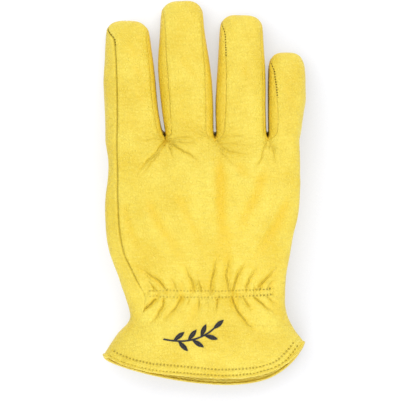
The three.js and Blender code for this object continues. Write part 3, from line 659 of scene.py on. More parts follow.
FOLDS = [  # height, width and path
    (1.15, 4.0, [(213.5, 146), (214, 170), (215, 200), (216, 230), (213.5, 262), (211, 284)]),
    (0.7, 3.6, [(140, 196), (152, 222), (170, 250), (184, 276)]),
    (0.55, 3.2, [(170, 190), (182, 215), (196, 245), (204, 275)]),
    (0.8, 4.0, [(262, 160), (252, 190), (238, 220), (228, 262)]),
    (0.8, 3.6, [(286, 190), (272, 222), (254, 250), (240, 276)]),
    (0.5, 3.4, [(232, 160), (240, 176), (256, 184), (274, 182)]),
    (0.5, 2.6, [(120, 200), (127, 232), (140, 258), (150, 272)]),
    (0.4, 3.0, [(192, 300), (188, 315), (178, 330)]),
    (0.4, 3.5, [(262, 300), (278, 318), (290, 334)]),
]
DENTS = [  # depth, width and path
    (0.55, 2.6, [(180, 55), (184, 62), (191, 72), (199, 79), (203, 87)]),
    (0.3, 3.2, [(127, 38), (132, 50), (136, 64), (136, 76)]),
    (0.3, 2.4, [(176, 98), (184, 104), (192, 106), (200, 103)]),
    (0.25, 1.6, [(124, 112), (132, 118), (142, 121), (152, 119)]),
    (0.25, 1.6, [(124, 126), (134, 130), (146, 131), (156, 129)]),
    (0.25, 1.6, [(174, 116), (184, 121), (194, 121), (203, 117)]),
    (0.25, 1.8, [(228, 100), (238, 106), (250, 105), (260, 98)]),
    (0.6, 3.2, [(231, 215), (229, 235), (228, 255), (229, 275), (230, 284)]),
    (0.4, 2.2, [(137, 90), (143, 100), (150, 108)]),
    (0.35, 2.0, [(172, 84), (180, 92), (190, 94)]),
    (0.4, 2.4, [(240, 60), (247, 76), (256, 88)]),
    (0.35, 2.2, [(284, 84), (290, 100), (296, 112)]),
    (0.35, 2.0, [(133, 66), (140, 74), (148, 78)]),
]
CREASE = {"shoulder": 0.4, "shoulder_aside": 1.9, "shoulder_width": 1.1, "fades_from": 0.35}
DENT_STARTS = 0.3  # share of its path over which a dent reaches its full depth
FOLD_STARTS = 0.2
GOLDEN_SHADE = {"crease": 0.25, "dent": 0.4, "fold": 0.5, "ridge": 0.3}  # how much golden painted shade each puts in its valleys; a fold's ridge takes some back
LINE_ENDS = (1.0, 2.0)  # distances at which a crisp line's depth starts and ends to fade
FAR_ASIDE = 6.0  # where there is no crisp line
WAVER = {"size": 4.0, "reach": 0.6}
PUCKER = {"rays": 9, "height": 0.34, "radius": 3.2, "width": 2.4, "wander": 0.5, "wander_size": 3.0,
          "dimple": 0.9, "hole": 1.6}
ELASTIC = {"left": -42.0, "right": 46.5, "end": 6.0, "rows_apart": 4.0}
GATHERS = [  # height, size across and along the glove, reach from the elastic's middle, and seed
    (0.8, 1.5, 7.0, 6.0, 21),
    (0.9, 3.4, 16.0, 14.0, 23),
    (0.7, 1.6, 1.6, 3.6, 22),
]
ELASTIC_GROOVE = {"depth": 0.26, "width": 0.7, "sunk": 0.8, "sunk_width": 5.0}
HEM = {"puff": 0.4, "groove": 0.3, "groove_width": 0.35}
SEAM_GROOVE = {"depth": 0.3, "width": 0.45}
SEAM_ROLL = {"aside": 1.9, "width": 1.2}
ELASTIC_ROWS = [  # the upper row of stitches and the lower one, in picture pixels
    [(148, 291.0), (160, 290.4), (185, 290.8), (215, 291.0), (245, 290.4), (273, 288.8)],
    [(148, 296.2), (160, 296.4), (185, 297.2), (215, 297.4), (245, 296.4), (273, 294.6)],
]
HEM_ROWS = [
    [(110, 348.5), (115.6, 352.2), (122.5, 355.6), (131.3, 358.9), (141.4, 361.5), (149, 363.2), (165, 365),
     (181, 366.2), (194.8, 367.5), (213.2, 369.2), (225, 369.6), (239.7, 369), (254, 367.7), (266.3, 365.2),
     (275.3, 361.4), (284.7, 353.5), (290, 347.2), (294, 341.9)],
    [(108, 355.5), (118.2, 361), (126.5, 363.9), (138.5, 367.3), (149, 369.8), (165, 371.8), (180, 372.8),
     (194, 373.9), (208, 374.8), (223.4, 375.6), (232.6, 375.4), (244.3, 374.3), (255.5, 373.3), (262.7, 371),
     (270.3, 369), (281.8, 363.7), (287.6, 358.7), (291.8, 354.1), (297.5, 345.7), (300, 342.4)],
]
LEAST_APART = 0.5  # between two rows of stitches, where they would meet past their ends
LUMPS = [(34.0, 0.6, 1), (15.0, 0.4, 2), (7.0, 0.16, 3), (3.2, 0.06, 4)]  # size, height and seed


def value_noise(points, size, seed):
    """Smooth noise from -1 to 1 with lumps of that size: random values at the corners of cubes, which
    whole-number hashing gives, mixed by t * t * (3 - 2 t) along each axis."""
    q = points / size + 100.0
    cell = np.floor(q).astype(np.int64)
    t = q - cell
    t = t * t * (3 - 2 * t)
    total = np.zeros(points.shape[:-1])
    for corner in np.ndindex(2, 2, 2):
        i, j, k = (cell[..., axis] + corner[axis] for axis in range(3))
        mixed = (i * 73856093) ^ (j * 19349663) ^ (k * 83492791) ^ (seed * 2654435761)
        mixed = (mixed ^ (mixed >> 13)) * 1274126177 & 0x7FFFFFFF
        mixed = (mixed ^ (mixed >> 15)) & 0xFFFF
        weight = np.ones(total.shape)
        for axis in range(3):
            weight = weight * (t[..., axis] if corner[axis] else 1 - t[..., axis])
        total += weight * (mixed / 32767.5 - 1)
    return total


def curve_through(path, step=1.5):
    """Points about a step apart on a smooth curve through a path's own points: each coordinate is a
    cubic along the path, as a table's column is."""
    path = np.asarray(path, float)
    place = travelled(path)
    rows = {"place": place, "x": path[:, 0], "y": path[:, 1]}
    at = np.linspace(0, place[-1], max(2, round(place[-1] / step) + 1))
    return np.stack([along(rows, "x", at), along(rows, "y", at)], axis=-1)


def near_path(xy, path):
    """Distance from each point to a path, to its left if positive, and how far along the path is its
    nearest place, from 0 to 1."""
    best = np.full(len(xy), np.inf)
    side, place = np.ones(len(xy)), np.zeros(len(xy))
    lengths = np.linalg.norm(np.diff(path, axis=0), axis=1)
    reached = np.concatenate([[0], np.cumsum(lengths)])
    for k, (a, b) in enumerate(zip(path[:-1], path[1:])):
        run = b - a
        t = np.clip((xy - a) @ run / lengths[k] ** 2, 0, 1)
        gap = xy - a - t[:, None] * run
        distance = np.hypot(gap[:, 0], gap[:, 1])
        nearer = distance < best
        best = np.where(nearer, distance, best)
        side = np.where(nearer, np.sign(run[0] * gap[:, 1] - run[1] * gap[:, 0]), side)
        place = np.where(nearer, (reached[k] + t * lengths[k]) / reached[-1], place)
    return best * np.where(side == 0, 1, side), place


def hump(distance, width):
    """A smooth hump: exp(-(distance / width) ^ 2)."""
    return np.exp(-((distance / width) ** 2))


def along_paths(xy, rows):
    """For each row of a table of creases: its height and width, which points lie near its path, how far
    aside they are, and how far along."""
    for height, width, pixels in rows:
        path = curve_through(from_picture(pixels))
        reach = 4 * width
        near = np.all((xy > path.min(0) - reach) & (xy < path.max(0) + reach), axis=1)
        aside, place = near_path(xy[near], path)
        yield height, width, near, aside, place


def crease_relief(points):
    """Relief of the creases, dents and folds listed: a valley is minus its depth times a hump across the
    path, and a fold has a ridge and a valley one width to its sides. Returns the relief, the golden
    painted shade of its valleys, less on a fold's ridge, and the nearest crease's signed distance and
    depth, for its crisp line of painted shade."""
    xy = seen(points) + WAVER["reach"] * np.stack(
        [value_noise(points, WAVER["size"], 11), value_noise(points, WAVER["size"], 12)], axis=-1
    )
    relief, golden, line_depth = (np.zeros(len(xy)) for k in range(3))
    line_aside = np.full(len(xy), FAR_ASIDE)
    for depth, width, near, aside, place in along_paths(xy, CREASES):
        fading = 1 - smooth(place, CREASE["fades_from"], 1.0)
        valley = fading * hump(aside, width)
        past_shoulder = np.abs(aside) - CREASE["shoulder_aside"] * width
        shoulder = fading * hump(past_shoulder, CREASE["shoulder_width"] * width)
        relief[near] += depth * (CREASE["shoulder"] * shoulder - valley)
        golden[near] += GOLDEN_SHADE["crease"] * depth * valley
        nearer = np.abs(aside) < np.abs(line_aside[near])
        line_aside[near] = np.where(nearer, aside, line_aside[near])
        line_depth[near] = np.where(nearer, depth * fading ** 2, line_depth[near])
    for depth, width, near, aside, place in along_paths(xy, DENTS):
        shown = (1 - smooth(place, CREASE["fades_from"], 1.0)) * smooth(place, 0.0, DENT_STARTS)
        valley = shown * hump(aside, width)
        relief[near] -= depth * valley
        golden[near] += GOLDEN_SHADE["dent"] * depth * valley
    for height, width, near, aside, place in along_paths(xy, FOLDS):
        shown = (1 - smooth(place, CREASE["fades_from"], 1.0)) * smooth(place, 0.0, FOLD_STARTS)
        ridge, valley = shown * hump(aside + width, width), shown * hump(aside - width, width)
        relief[near] += height * (ridge - valley)
        golden[near] += GOLDEN_SHADE["fold"] * height * (valley - GOLDEN_SHADE["ridge"] * ridge)
    line_depth *= 1 - smooth(np.abs(line_aside), *LINE_ENDS)
    return relief, golden, line_aside, line_depth


def pucker_relief(points, forks):
    """Puckers round each fork: a cosine round it, in a ring a few millimetres wide, and a small deep
    dimple at the fork itself."""
    relief = np.zeros(len(points))
    for fork in forks:
        away = points[:, :2] - fork[:2]
        radius = np.hypot(away[:, 0], away[:, 1])
        wander = PUCKER["wander"] * value_noise(points, PUCKER["wander_size"], 31)
        turn = np.arctan2(away[:, 1], away[:, 0]) + wander
        ring = hump(radius - PUCKER["radius"], PUCKER["width"])
        relief += PUCKER["height"] * np.cos(PUCKER["rays"] * turn) * ring
        relief -= PUCKER["dimple"] * hump(radius, PUCKER["hole"])
    return relief


def between_rows(points, rows):
    """Where points lie across and along two rows of stitches: across is -1 on the lower row and 1 on
    the upper one, and along is the millimetres along the upper row."""
    upper, lower = (curve_through(from_picture(row)) for row in rows)
    from_upper, place = near_path(seen(points), upper)
    from_lower, _ = near_path(seen(points), lower)
    apart = from_lower - from_upper
    across = (from_upper + from_lower) / np.where(np.abs(apart) < LEAST_APART, LEAST_APART, apart)
    return across, place * travelled(upper)[-1]


def elastic_relief(points):
    """Small gathers under the elastic's two rows of stitches: layers of noise drawn out along the glove,
    and knots of leather between the needle holes, which fade away from the rows and past the
    elastic's ends, with a groove along each row."""
    across, _ = between_rows(points, ELASTIC_ROWS)
    away = ELASTIC["rows_apart"] / 2 * across
    from_left, from_right = points[:, 0] - ELASTIC["left"], points[:, 0] - ELASTIC["right"]
    held = smooth(from_left, 0, ELASTIC["end"]) * (1 - smooth(from_right, 0, ELASTIC["end"]))
    relief = np.zeros(len(points))
    for height, wide, long, reach, seed in GATHERS:
        relief += height * value_noise(points / np.array([wide, long, long]), 1.0, seed) * hump(away, reach)
    grooves = hump(np.abs(away) - ELASTIC["rows_apart"] / 2, ELASTIC_GROOVE["width"])
    sunk = ELASTIC_GROOVE["sunk"] * hump(away, ELASTIC_GROOVE["sunk_width"])
    return held * (relief - ELASTIC_GROOVE["depth"] * (grooves + sunk))


def hem_relief(points):
    """A groove under each row of the hem's stitches, and the hem's band puffed up between them."""
    across, _ = between_rows(points, HEM_ROWS)
    grooves = hump(np.abs(across) - 1, HEM["groove_width"])
    return HEM["puff"] * np.maximum(0, 1 - across ** 2) - HEM["groove"] * grooves


def seam_relief(distance, ridge, shown=1.0):
    """A groove where two panels meet and the rolled edge beside it."""
    roll = ridge * hump(distance - SEAM_ROLL["aside"], SEAM_ROLL["width"])
    return shown * (roll - SEAM_GROOVE["depth"] * hump(distance, SEAM_GROOVE["width"]))


# Where down the cuff the index finger's seam fades to what is left of it, and how the others show.
SEAM_FADE = {"from": 103.0, "to": 112.0, "left": 0.12, "others": 0.42, "beyond": -44.0, "over": 5.0}


def seam_shown(points):
    """How much a seam shows: fully along the index finger, less between the others, and hardly where
    the cuff's flare pulls the index finger's seam flat."""
    down = ROOT_Y - points[..., 1]
    others = smooth(points[..., 0], SEAM_FADE["beyond"], SEAM_FADE["beyond"] + SEAM_FADE["over"])
    faded = (1 - SEAM_FADE["left"]) * smooth(down, SEAM_FADE["from"], SEAM_FADE["to"])
    return (1 - faded) * (1 - (1 - SEAM_FADE["others"]) * others)


SEAM_LINE = 1.0  # how deep a seam's line is, beside the creases' depths


def with_seam_line(seam_at, shown, crease_aside=FAR_ASIDE, crease_depth=0.0):
    """The attributes of the crisp lines, with the seam's line where it is nearer than a crease's."""
    nearer = seam_at < np.abs(crease_aside)
    line = SEAM_LINE * shown * (1 - smooth(seam_at, *LINE_ENDS))
    return {
        "crease_aside": np.where(nearer, seam_at, crease_aside),
        "crease_depth": np.where(nearer, line, crease_depth),
    }


def lie_relief(points):
    """The leather's own uneven lie: layers of noise, each with its lumps' size and height."""
    return sum(height * value_noise(points, size, seed) for size, height, seed in LUMPS)


def row_lengths(points):
    """The distance of each point along its row from the first column, and to the last one."""
    steps = np.linalg.norm(np.diff(points, axis=1), axis=2)
    length = np.concatenate([np.zeros((len(points), 1)), np.cumsum(steps, axis=1)], axis=1)
    return length, length[:, -1:] - length


def seam_distances(finger_patches, hand_patch, forks):
    """Distance to the nearest seam: along its row to an edge, or on the hand to a fork point."""
    found = [np.minimum(*row_lengths(patch)) for patch in finger_patches]
    on_hand = np.minimum(*row_lengths(hand_patch))
    for fork in forks:
        on_hand = np.minimum(on_hand, np.linalg.norm(hand_patch - fork, axis=2))
    return found + [on_hand]


def flat(arrays):
    """Grids of numbers as one list."""
    return np.concatenate([a.reshape(-1) for a in arrays])


# Grain leather of goat or deer hide, drum dyed yellow and lightly finished. Its pebbled grain is
# about a millimetre, drawn twice as coarse here so that it shows, and it has a soft satin gloss. Golden
# painted shade lies in its folds, a dark olive line runs along its seams, olive painted shade along its
# creases, and dark brown painted shade where other leather lies close over it.
# Colours: light and deep are the leather's own tones; fold is the golden of painted shade in valleys and on
# steep sides; seam is the olive of the seams' lines and of painted shade along creases; hole is the needle
# holes'; the dark brown one is painted shade where other leather lies close.
LEATHER = {
    "light": "#fee95e", "deep": "#edcc2f", "fold": "#f6d02a", "seam": "#ac8d1c", "hole": "#a5851a",
    "painted_shade": "#5c3e06", "grain": 1.9, "mottle": 1.8, "patch": 26.0, "wrinkle": 2.4, "lie": 5.0,
    "roughest": 0.5, "smoothest": 0.34, "ior": 1.5,
}
TONE = {"middle": -0.85, "patch": 1.6, "mottle": 0.4, "wrinkle": 0.85, "pebble": -0.22}
BUMP = {"unit": 0.225, "pebble": 1.15, "pores": 1.0, "lie": 2.8, "wrinkle": 3.8, "hole": -3.4, "line": -2.6,
        "pucker": 2.0}
PEBBLE = {"edge": 0.34, "bend": 1.6, "swirl": 1.6, "pore": 0.5}
STRETCH = (0.4, 1.5, 1.0)  # of the wrinkles, which run across the fingers
NEEDLE = {"pitch": 2.35, "hole": 0.4, "rows_apart": 4.0, "wander": 0.9, "wander_size": 3.0,
          "pucker": (0.3, 1.6)}
LINE = {"sharp": 0.1, "soft": 0.8, "dark": 0.34}
# Painted shade by ambient occlusion: how near other leather must lie, and the occlusion over which the
# leather turns from dark brown back to its own colour.
PAINTED_SHADE_AO = {"reach": 6.0, "from": 0.14, "to": 0.32}


def per_metre(size):
    """A texture's scale for lumps of that size in millimetres."""
    return 1 / (size * MM)


def grain_leather(name, colours):
    """Leather whose colour drifts between two tones, in patches and in small mottles, and takes on golden
    painted shade as the attribute fold rises to a half. Its bump is the pebbles' cells, with creases
    between them, fine wrinkles across the fingers, and coarser noise. A crisp line in the seams' colour
    lies where crease_aside is 0, as deep as crease_depth: a dark line along the seams, and painted shade
    along the creases. Needle holes, with puckers between them, are round dots along the rows that
    row_across, in half distances between two rows, and row_along, in millimetres, give. Painted shade
    in a dark brown lies where ambient occlusion finds other leather close over it, unless there is no
    colour for that."""
    material, tree = new_material(name)

    def maths(operation, a, b=0.0, c=0.0):
        return node(tree, "ShaderNodeMath", {"operation": operation}, _0=a, _1=b, _2=c).outputs["Value"]

    def attribute(name):
        return node(tree, "ShaderNodeAttribute", {"attribute_name": name}).outputs["Fac"]

    def ramp(value, low, high, to_low=0.0, to_high=1.0):
        return node(tree, "ShaderNodeMapRange", {"interpolation_type": "SMOOTHSTEP"}, Value=value,
                    From_Min=low, From_Max=high, To_Min=to_low, To_Max=to_high).outputs["Result"]

    def mixed(factor, first, second):
        mix = node(tree, "ShaderNodeMix", {"data_type": "RGBA"}, Factor=factor, _6=first, _7=second)
        return mix.outputs[2]

    def added(weights, start, **parts):
        """The start with each part added in its own weight."""
        for part_name, part in parts.items():
            start = maths("MULTIPLY_ADD", part, weights[part_name], start)
        return start

    place = node(tree, "ShaderNodeTexCoord").outputs["Object"]

    def noise(size, detail, roughness=0.5, vector=place):
        return node(tree, "ShaderNodeTexNoise", Vector=vector, Scale=per_metre(size), Detail=detail,
                    Roughness=roughness).outputs["Fac"]

    swirl = node(tree, "ShaderNodeTexNoise", Vector=place, Detail=1.0,
                 Scale=per_metre(colours["grain"] * PEBBLE["swirl"]))
    bent = node(tree, "ShaderNodeVectorMath", {"operation": "MULTIPLY_ADD"}, _0=swirl.outputs["Color"],
                _1=(PEBBLE["bend"] * MM,) * 3, _2=place)
    cells = node(tree, "ShaderNodeTexVoronoi", {"feature": "DISTANCE_TO_EDGE"}, Vector=bent.outputs["Vector"],
                 Scale=per_metre(colours["grain"]))
    pebble = ramp(cells.outputs["Distance"], 0.0, PEBBLE["edge"])
    drawn_out = node(tree, "ShaderNodeVectorMath", {"operation": "MULTIPLY"}, _0=place, _1=STRETCH)
    wrinkles = noise(colours["wrinkle"], 3.0, 0.6, drawn_out.outputs["Vector"])
    pores = noise(colours["grain"] * PEBBLE["pore"], 2.0)
    lie = noise(colours["lie"], 4.0, 0.62)

    tone = added(TONE, TONE["middle"], patch=noise(colours["patch"], 3.0),
                 mottle=noise(colours["mottle"], 3.0, 0.6), wrinkle=wrinkles, pebble=pebble)
    colour = mixed(tone, linear(colours["light"]), linear(colours["deep"]))
    # Golden painted shade, in full where the attribute fold reaches a half.
    folded = node(tree, "ShaderNodeMapRange", Value=attribute("fold"), From_Max=0.5).outputs["Result"]
    colour = mixed(folded, colour, linear(colours["fold"]))

    # Crisp line in the seams' olive: a dark line along the seams, and painted shade along the creases.
    line = maths("MULTIPLY", attribute("crease_depth"),
                 ramp(maths("ABSOLUTE", attribute("crease_aside")), LINE["sharp"], LINE["soft"], 1.0, 0.0))
    colour = mixed(maths("MULTIPLY", line, LINE["dark"]), colour, linear(colours["seam"]))

    shown = attribute("row_shown")
    uneven = noise(NEEDLE["wander_size"], 1.0)
    wander = maths("MULTIPLY", maths("SUBTRACT", uneven, 0.5), NEEDLE["wander"])
    half_apart = NEEDLE["rows_apart"] / 2
    aside = maths("MULTIPLY", maths("SUBTRACT", maths("ABSOLUTE", attribute("row_across")), 1.0), half_apart)
    aside = maths("ADD", aside, wander)
    course = maths("DIVIDE", maths("ADD", attribute("row_along"), wander), NEEDLE["pitch"])
    onward = maths("MULTIPLY", maths("SUBTRACT", maths("FRACT", course), 0.5), NEEDLE["pitch"])
    away = maths("SQRT", maths("ADD", maths("MULTIPLY", aside, aside), maths("MULTIPLY", onward, onward)))
    hole = maths("MULTIPLY", ramp(away, NEEDLE["hole"], NEEDLE["hole"] * 2, 1.0, 0.0), shown)
    pucker = maths("MULTIPLY", ramp(maths("ABSOLUTE", aside), *NEEDLE["pucker"], 1.0, 0.0), shown)
    pucker = maths("MULTIPLY", maths("MULTIPLY", maths("ABSOLUTE", onward), pucker), 2 / NEEDLE["pitch"])
    colour = mixed(hole, colour, linear(colours["hole"]))

    # Painted shade: dark brown where ambient occlusion finds other leather lying close, as in the gaps
    # between the fingers.
    if colours["painted_shade"] is not None:
        near = node(tree, "ShaderNodeAmbientOcclusion", {"samples": 6}, Distance=PAINTED_SHADE_AO["reach"] * MM)
        painted_shade = ramp(near.outputs["AO"], PAINTED_SHADE_AO["from"], PAINTED_SHADE_AO["to"], 1.0, 0.0)
        colour = mixed(painted_shade, colour, linear(colours["painted_shade"]))

    height = added(BUMP, 0.0, pebble=pebble, pores=pores, lie=lie, wrinkle=wrinkles, hole=hole, line=line,
                   pucker=pucker)
    bump = node(tree, "ShaderNodeBump", Strength=0.9, Distance=BUMP["unit"] * MM, Height=height)
    gloss = node(tree, "ShaderNodeMapRange", Value=pores, To_Min=colours["smoothest"],
                 To_Max=colours["roughest"])
    skin = node(tree, "ShaderNodeBsdfPrincipled", Base_Color=colour, IOR=colours["ior"],
                Roughness=gloss.outputs["Result"], Normal=bump.outputs["Normal"])
    node(tree, "ShaderNodeOutputMaterial", Surface=skin.outputs["BSDF"])
    return material


glove_leather = grain_leather("yellow_grain_leather", LEATHER)

# Lining: a thin brushed knit bonded to the leather's inside, cream, with a short soft nap.
LINING = {"deep": "#dccb96", "light": "#efe3bd", "fibre": 1.4, "detail": 4.0, "bump": 0.6, "height": 0.25,
          "roughness": 0.95, "sheen": 0.35}


def soft_fibres(name, look):
    """Fibres with a sheen, whose colour drifts between two tones with a fine noise, their bump too."""
    material, tree = new_material(name)
    place = node(tree, "ShaderNodeTexCoord").outputs["Object"]
    fibres = node(tree, "ShaderNodeTexNoise", Vector=place, Scale=per_metre(look["fibre"]),
                  Detail=look["detail"]).outputs["Fac"]
    tone = node(tree, "ShaderNodeMix", {"data_type": "RGBA"}, Factor=fibres, _6=linear(look["deep"]),
                _7=linear(look["light"]))
    bump = node(tree, "ShaderNodeBump", Strength=look["bump"], Distance=look["height"] * MM, Height=fibres)
    skin = node(tree, "ShaderNodeBsdfPrincipled", Base_Color=tone.outputs[2], Roughness=look["roughness"],
                Sheen_Weight=look["sheen"], Normal=bump.outputs["Normal"])
    node(tree, "ShaderNodeOutputMaterial", Surface=skin.outputs["BSDF"])
    return material


lining_knit = soft_fibres("brushed_cream_lining", LINING)

# Back panel: one piece of leather over the back of the hand and the four fingers, and round the
# little finger's outer side, with the elastic's two rows of needle holes, the hem's, and coarser
# stitches along three of the fingertips' seams.
BACK_RIDGE = 0.28
FACES_UP = 0.4  # the upward part of the normal from which the relief and the holes show in full
PRESSED = {"share": 0.6, "width": 1.5}  # how the elastic holds the creases down between its rows
GATHER_VALLEY_SHADE = 0.2  # how much golden painted shade lies in the gathers' valleys
HEM_HOLES = 0.55  # how dark the hem's needle holes are
HEM_TOP = (200, 325)  # a pixel above the hem's rows and below the elastic's
ELASTIC_HOLES = {"along": 0.36, "at_end": 0.75, "end_from": -18.0, "end_to": -6.0}  # and the elastic's
TIP_WINDOWS = [((103, 24), (117, 46)), ((216, 18), (229, 58)), ((266, 54), (281, 98))]  # corner pixels
TIP_STITCH = {"within": 1.6, "aside": 0.5, "finer": 1.3}


def open_edges(faces, count):
    """The edges with a face on one side only, each from one point to the next."""
    edges = np.concatenate([faces[:, [0, 1]], faces[:, [1, 2]], faces[:, [2, 0]]])
    return edges[~np.isin(edges[:, 0] * count + edges[:, 1], edges[:, 1] * count + edges[:, 0])]


def leather_wall(patches, normals, relief):
    """A panel as a closed wall. The outer face is the sheet raised by the relief along the normals,
    and the inner one lies a wall further in, raised by half as much. The edges are drawn in by the
    gap, square to the seam and to the normal. Returns the points, the faces, how many of them are
    outer faces, the first copy of each point and the joined index of each copy."""
    first, joined, faces = weld(patches)
    points, away, relief = listed(patches)[first], listed(normals)[first], relief[first]
    count = len(points)
    edges = open_edges(faces, count)
    ahead, behind = np.arange(count), np.arange(count)
    ahead[edges[:, 0]], behind[edges[:, 1]] = edges[:, 1], edges[:, 0]
    inwards = np.cross(away, points[ahead] - points[behind])
    length = np.linalg.norm(inwards, axis=1, keepdims=True)
    gap = SEAM_GAP * seam_shown(points)[:, None]
    drawn = points + np.where(length > 1e-9, gap * inwards / np.maximum(length, 1e-9), 0)
    outer = drawn + away * relief[:, None]
    inner = drawn + away * (relief / 2 - WALL)[:, None]
    outer[:, 2] = np.maximum(outer[:, 2], 0.0)
    p, q = edges.T
    rim = np.concatenate([np.stack([q, p, p + count], -1), np.stack([q, p + count, q + count], -1)])
    walls = np.concatenate([faces, faces[:, ::-1] + count, rim])
    return np.concatenate([outer, inner]), walls, len(faces), first, joined


def new_piece(name, points, faces, materials, face_materials=None, sharp=50.0, attributes=None):
    """A mesh object in the frame from the pattern's millimetres, shaded smooth up to an angle."""
    mesh = bpy.data.meshes.new(name)
    mesh.vertices.add(len(points))
    mesh.vertices.foreach_set("co", ((points + GLOVE_ORIGIN) * MM).astype(np.float32).reshape(-1))
    sides = faces.shape[1]
    mesh.loops.add(faces.size)
    mesh.loops.foreach_set("vertex_index", faces.astype(np.int32).reshape(-1))
    mesh.polygons.add(len(faces))
    mesh.polygons.foreach_set("loop_start", np.arange(0, faces.size, sides, dtype=np.int32))
    for material in materials:
        mesh.materials.append(material)
    if face_materials is not None:
        mesh.polygons.foreach_set("material_index", face_materials.astype(np.int32))
    mesh.update(calc_edges=True)
    for label, values in (attributes or {}).items():
        mesh.attributes.new(label, "FLOAT", "POINT").data.foreach_set("value", values.astype(np.float32))
    mesh.shade_smooth()
    mesh.set_sharp_from_angle(angle=math.radians(sharp))
    piece = bpy.data.objects.new(name, mesh)
    bpy.context.scene.collection.objects.link(piece)
    return piece


def sewn_panel(name, patches, normals, relief, fold, node_name, marks):
    """A panel as a piece of the glove: leather outside and on its cut edges, lining inside. The marks
    are the leather's further attributes, by name. Returns the outer points of the patches."""
    points, walls, outer_faces, first, joined = leather_wall(patches, normals, relief)
    count = len(first)
    kinds = np.zeros(len(walls))
    kinds[outer_faces:2 * outer_faces] = 1
    attributes = {
        label: np.concatenate([values[first], np.zeros(count)])
        for label, values in {"fold": fold, **marks}.items()
    }
    piece = new_piece(name, points, walls, [glove_leather, lining_knit], kinds, attributes=attributes)
    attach(piece, "root")
    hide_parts(node_name)
    return points[:count][joined]


def as_patches(points, patches):
    """Listed points of patches as grids again."""
    ends = np.cumsum([patch.size // 3 for patch in patches])[:-1]
    return [grid.reshape(patch.shape) for grid, patch in zip(np.split(points, ends), patches)]


back_patches = [*finger_backs, hand_back]
back_points = listed(back_patches)
upward = smooth(flat([n[..., 2] for n in back_normals]), 0.0, FACES_UP)
seam_at = flat(seam_distances(finger_backs, hand_back, back_forks))
shown = seam_shown(back_points)
seamed = seam_relief(seam_at, BACK_RIDGE, shown) + pucker_relief(back_points, back_forks)
gathered = elastic_relief(back_points) + hem_relief(back_points)
elastic_across, elastic_along = between_rows(back_points, ELASTIC_ROWS)
pressed = 1 - PRESSED["share"] * np.exp(-((elastic_across / PRESSED["width"]) ** 4))
creased, golden, crease_aside, crease_depth = crease_relief(back_points)
creased, golden, crease_depth = creased * pressed, golden * pressed, crease_depth * pressed
back_relief = (creased + gathered) * upward + seamed + lie_relief(back_points)
# Golden painted shade in the valleys of the creases, dents, folds and gathers, on faces that look up.
back_fold_shade = np.clip(golden + GATHER_VALLEY_SHADE * np.maximum(0, -gathered), 0, 0.5) * upward

from_left, from_right = (back_points[:, 0] - from_picture(ELASTIC_ROWS[0][end])[0] for end in (0, -1))
at_end = smooth(from_right, ELASTIC_HOLES["end_from"], ELASTIC_HOLES["end_to"])
elastic_holes = ELASTIC_HOLES["along"] + (ELASTIC_HOLES["at_end"] - ELASTIC_HOLES["along"]) * at_end
elastic_holes *= smooth(from_left, 0, 1) * (1 - smooth(from_right, 0, 1))
hem_across, hem_along = between_rows(back_points, HEM_ROWS)
by_hem = back_points[:, 1] < from_picture(HEM_TOP)[1]
by_tip = np.zeros(len(back_points), bool)
x, y = seen(back_points).T
for corners in TIP_WINDOWS:
    (left, top), (right, bottom) = from_picture(corners)
    by_tip |= (x > left) & (x < right) & (y > bottom) & (y < top) & (seam_at < TIP_STITCH["within"])
tip_across = 1 + (seam_at - TIP_STITCH["aside"]) / (NEEDLE["rows_apart"] / 2)
tip_along = TIP_STITCH["finer"] * back_points[:, 1]
back_marks = {
    **with_seam_line(seam_at, shown, crease_aside, crease_depth * upward),
    "row_across": np.where(by_tip, tip_across, np.where(by_hem, hem_across, elastic_across)),
    "row_along": np.where(by_tip, tip_along, np.where(by_hem, hem_along, elastic_along)),
    "row_shown": np.maximum(np.where(by_hem, HEM_HOLES, elastic_holes) * upward, by_tip),
}
back_outer = sewn_panel("leather_back", back_patches, back_normals, back_relief, back_fold_shade, "back_panel",
                        back_marks)
hand_back_outer = as_patches(back_outer, back_patches)[-1]

# Palm panel: one piece under the hand and fingers, wrapped round the index finger's outer side to a
# seam on the back, where its edge is rolled over the seam.
PALM_RIDGE = 0.55
PLAIN_FOLD = 0.06  # how golden the leather is where it has no folds
palm_patches = [*finger_palms, hand_palm]
palm_points = listed(palm_patches)
seam_at = flat(seam_distances(finger_palms, hand_palm, palm_forks))
shown = seam_shown(palm_points)
palm_relief = seam_relief(seam_at, PALM_RIDGE, shown) + lie_relief(palm_points)
palm_fold = np.full(len(palm_points), PLAIN_FOLD)
palm_outer = sewn_panel("leather_palm", palm_patches, palm_normals, palm_relief, palm_fold, "palm_panel",
                        with_seam_line(seam_at, shown))
hand_palm_outer = as_patches(palm_outer, palm_patches)[-1]

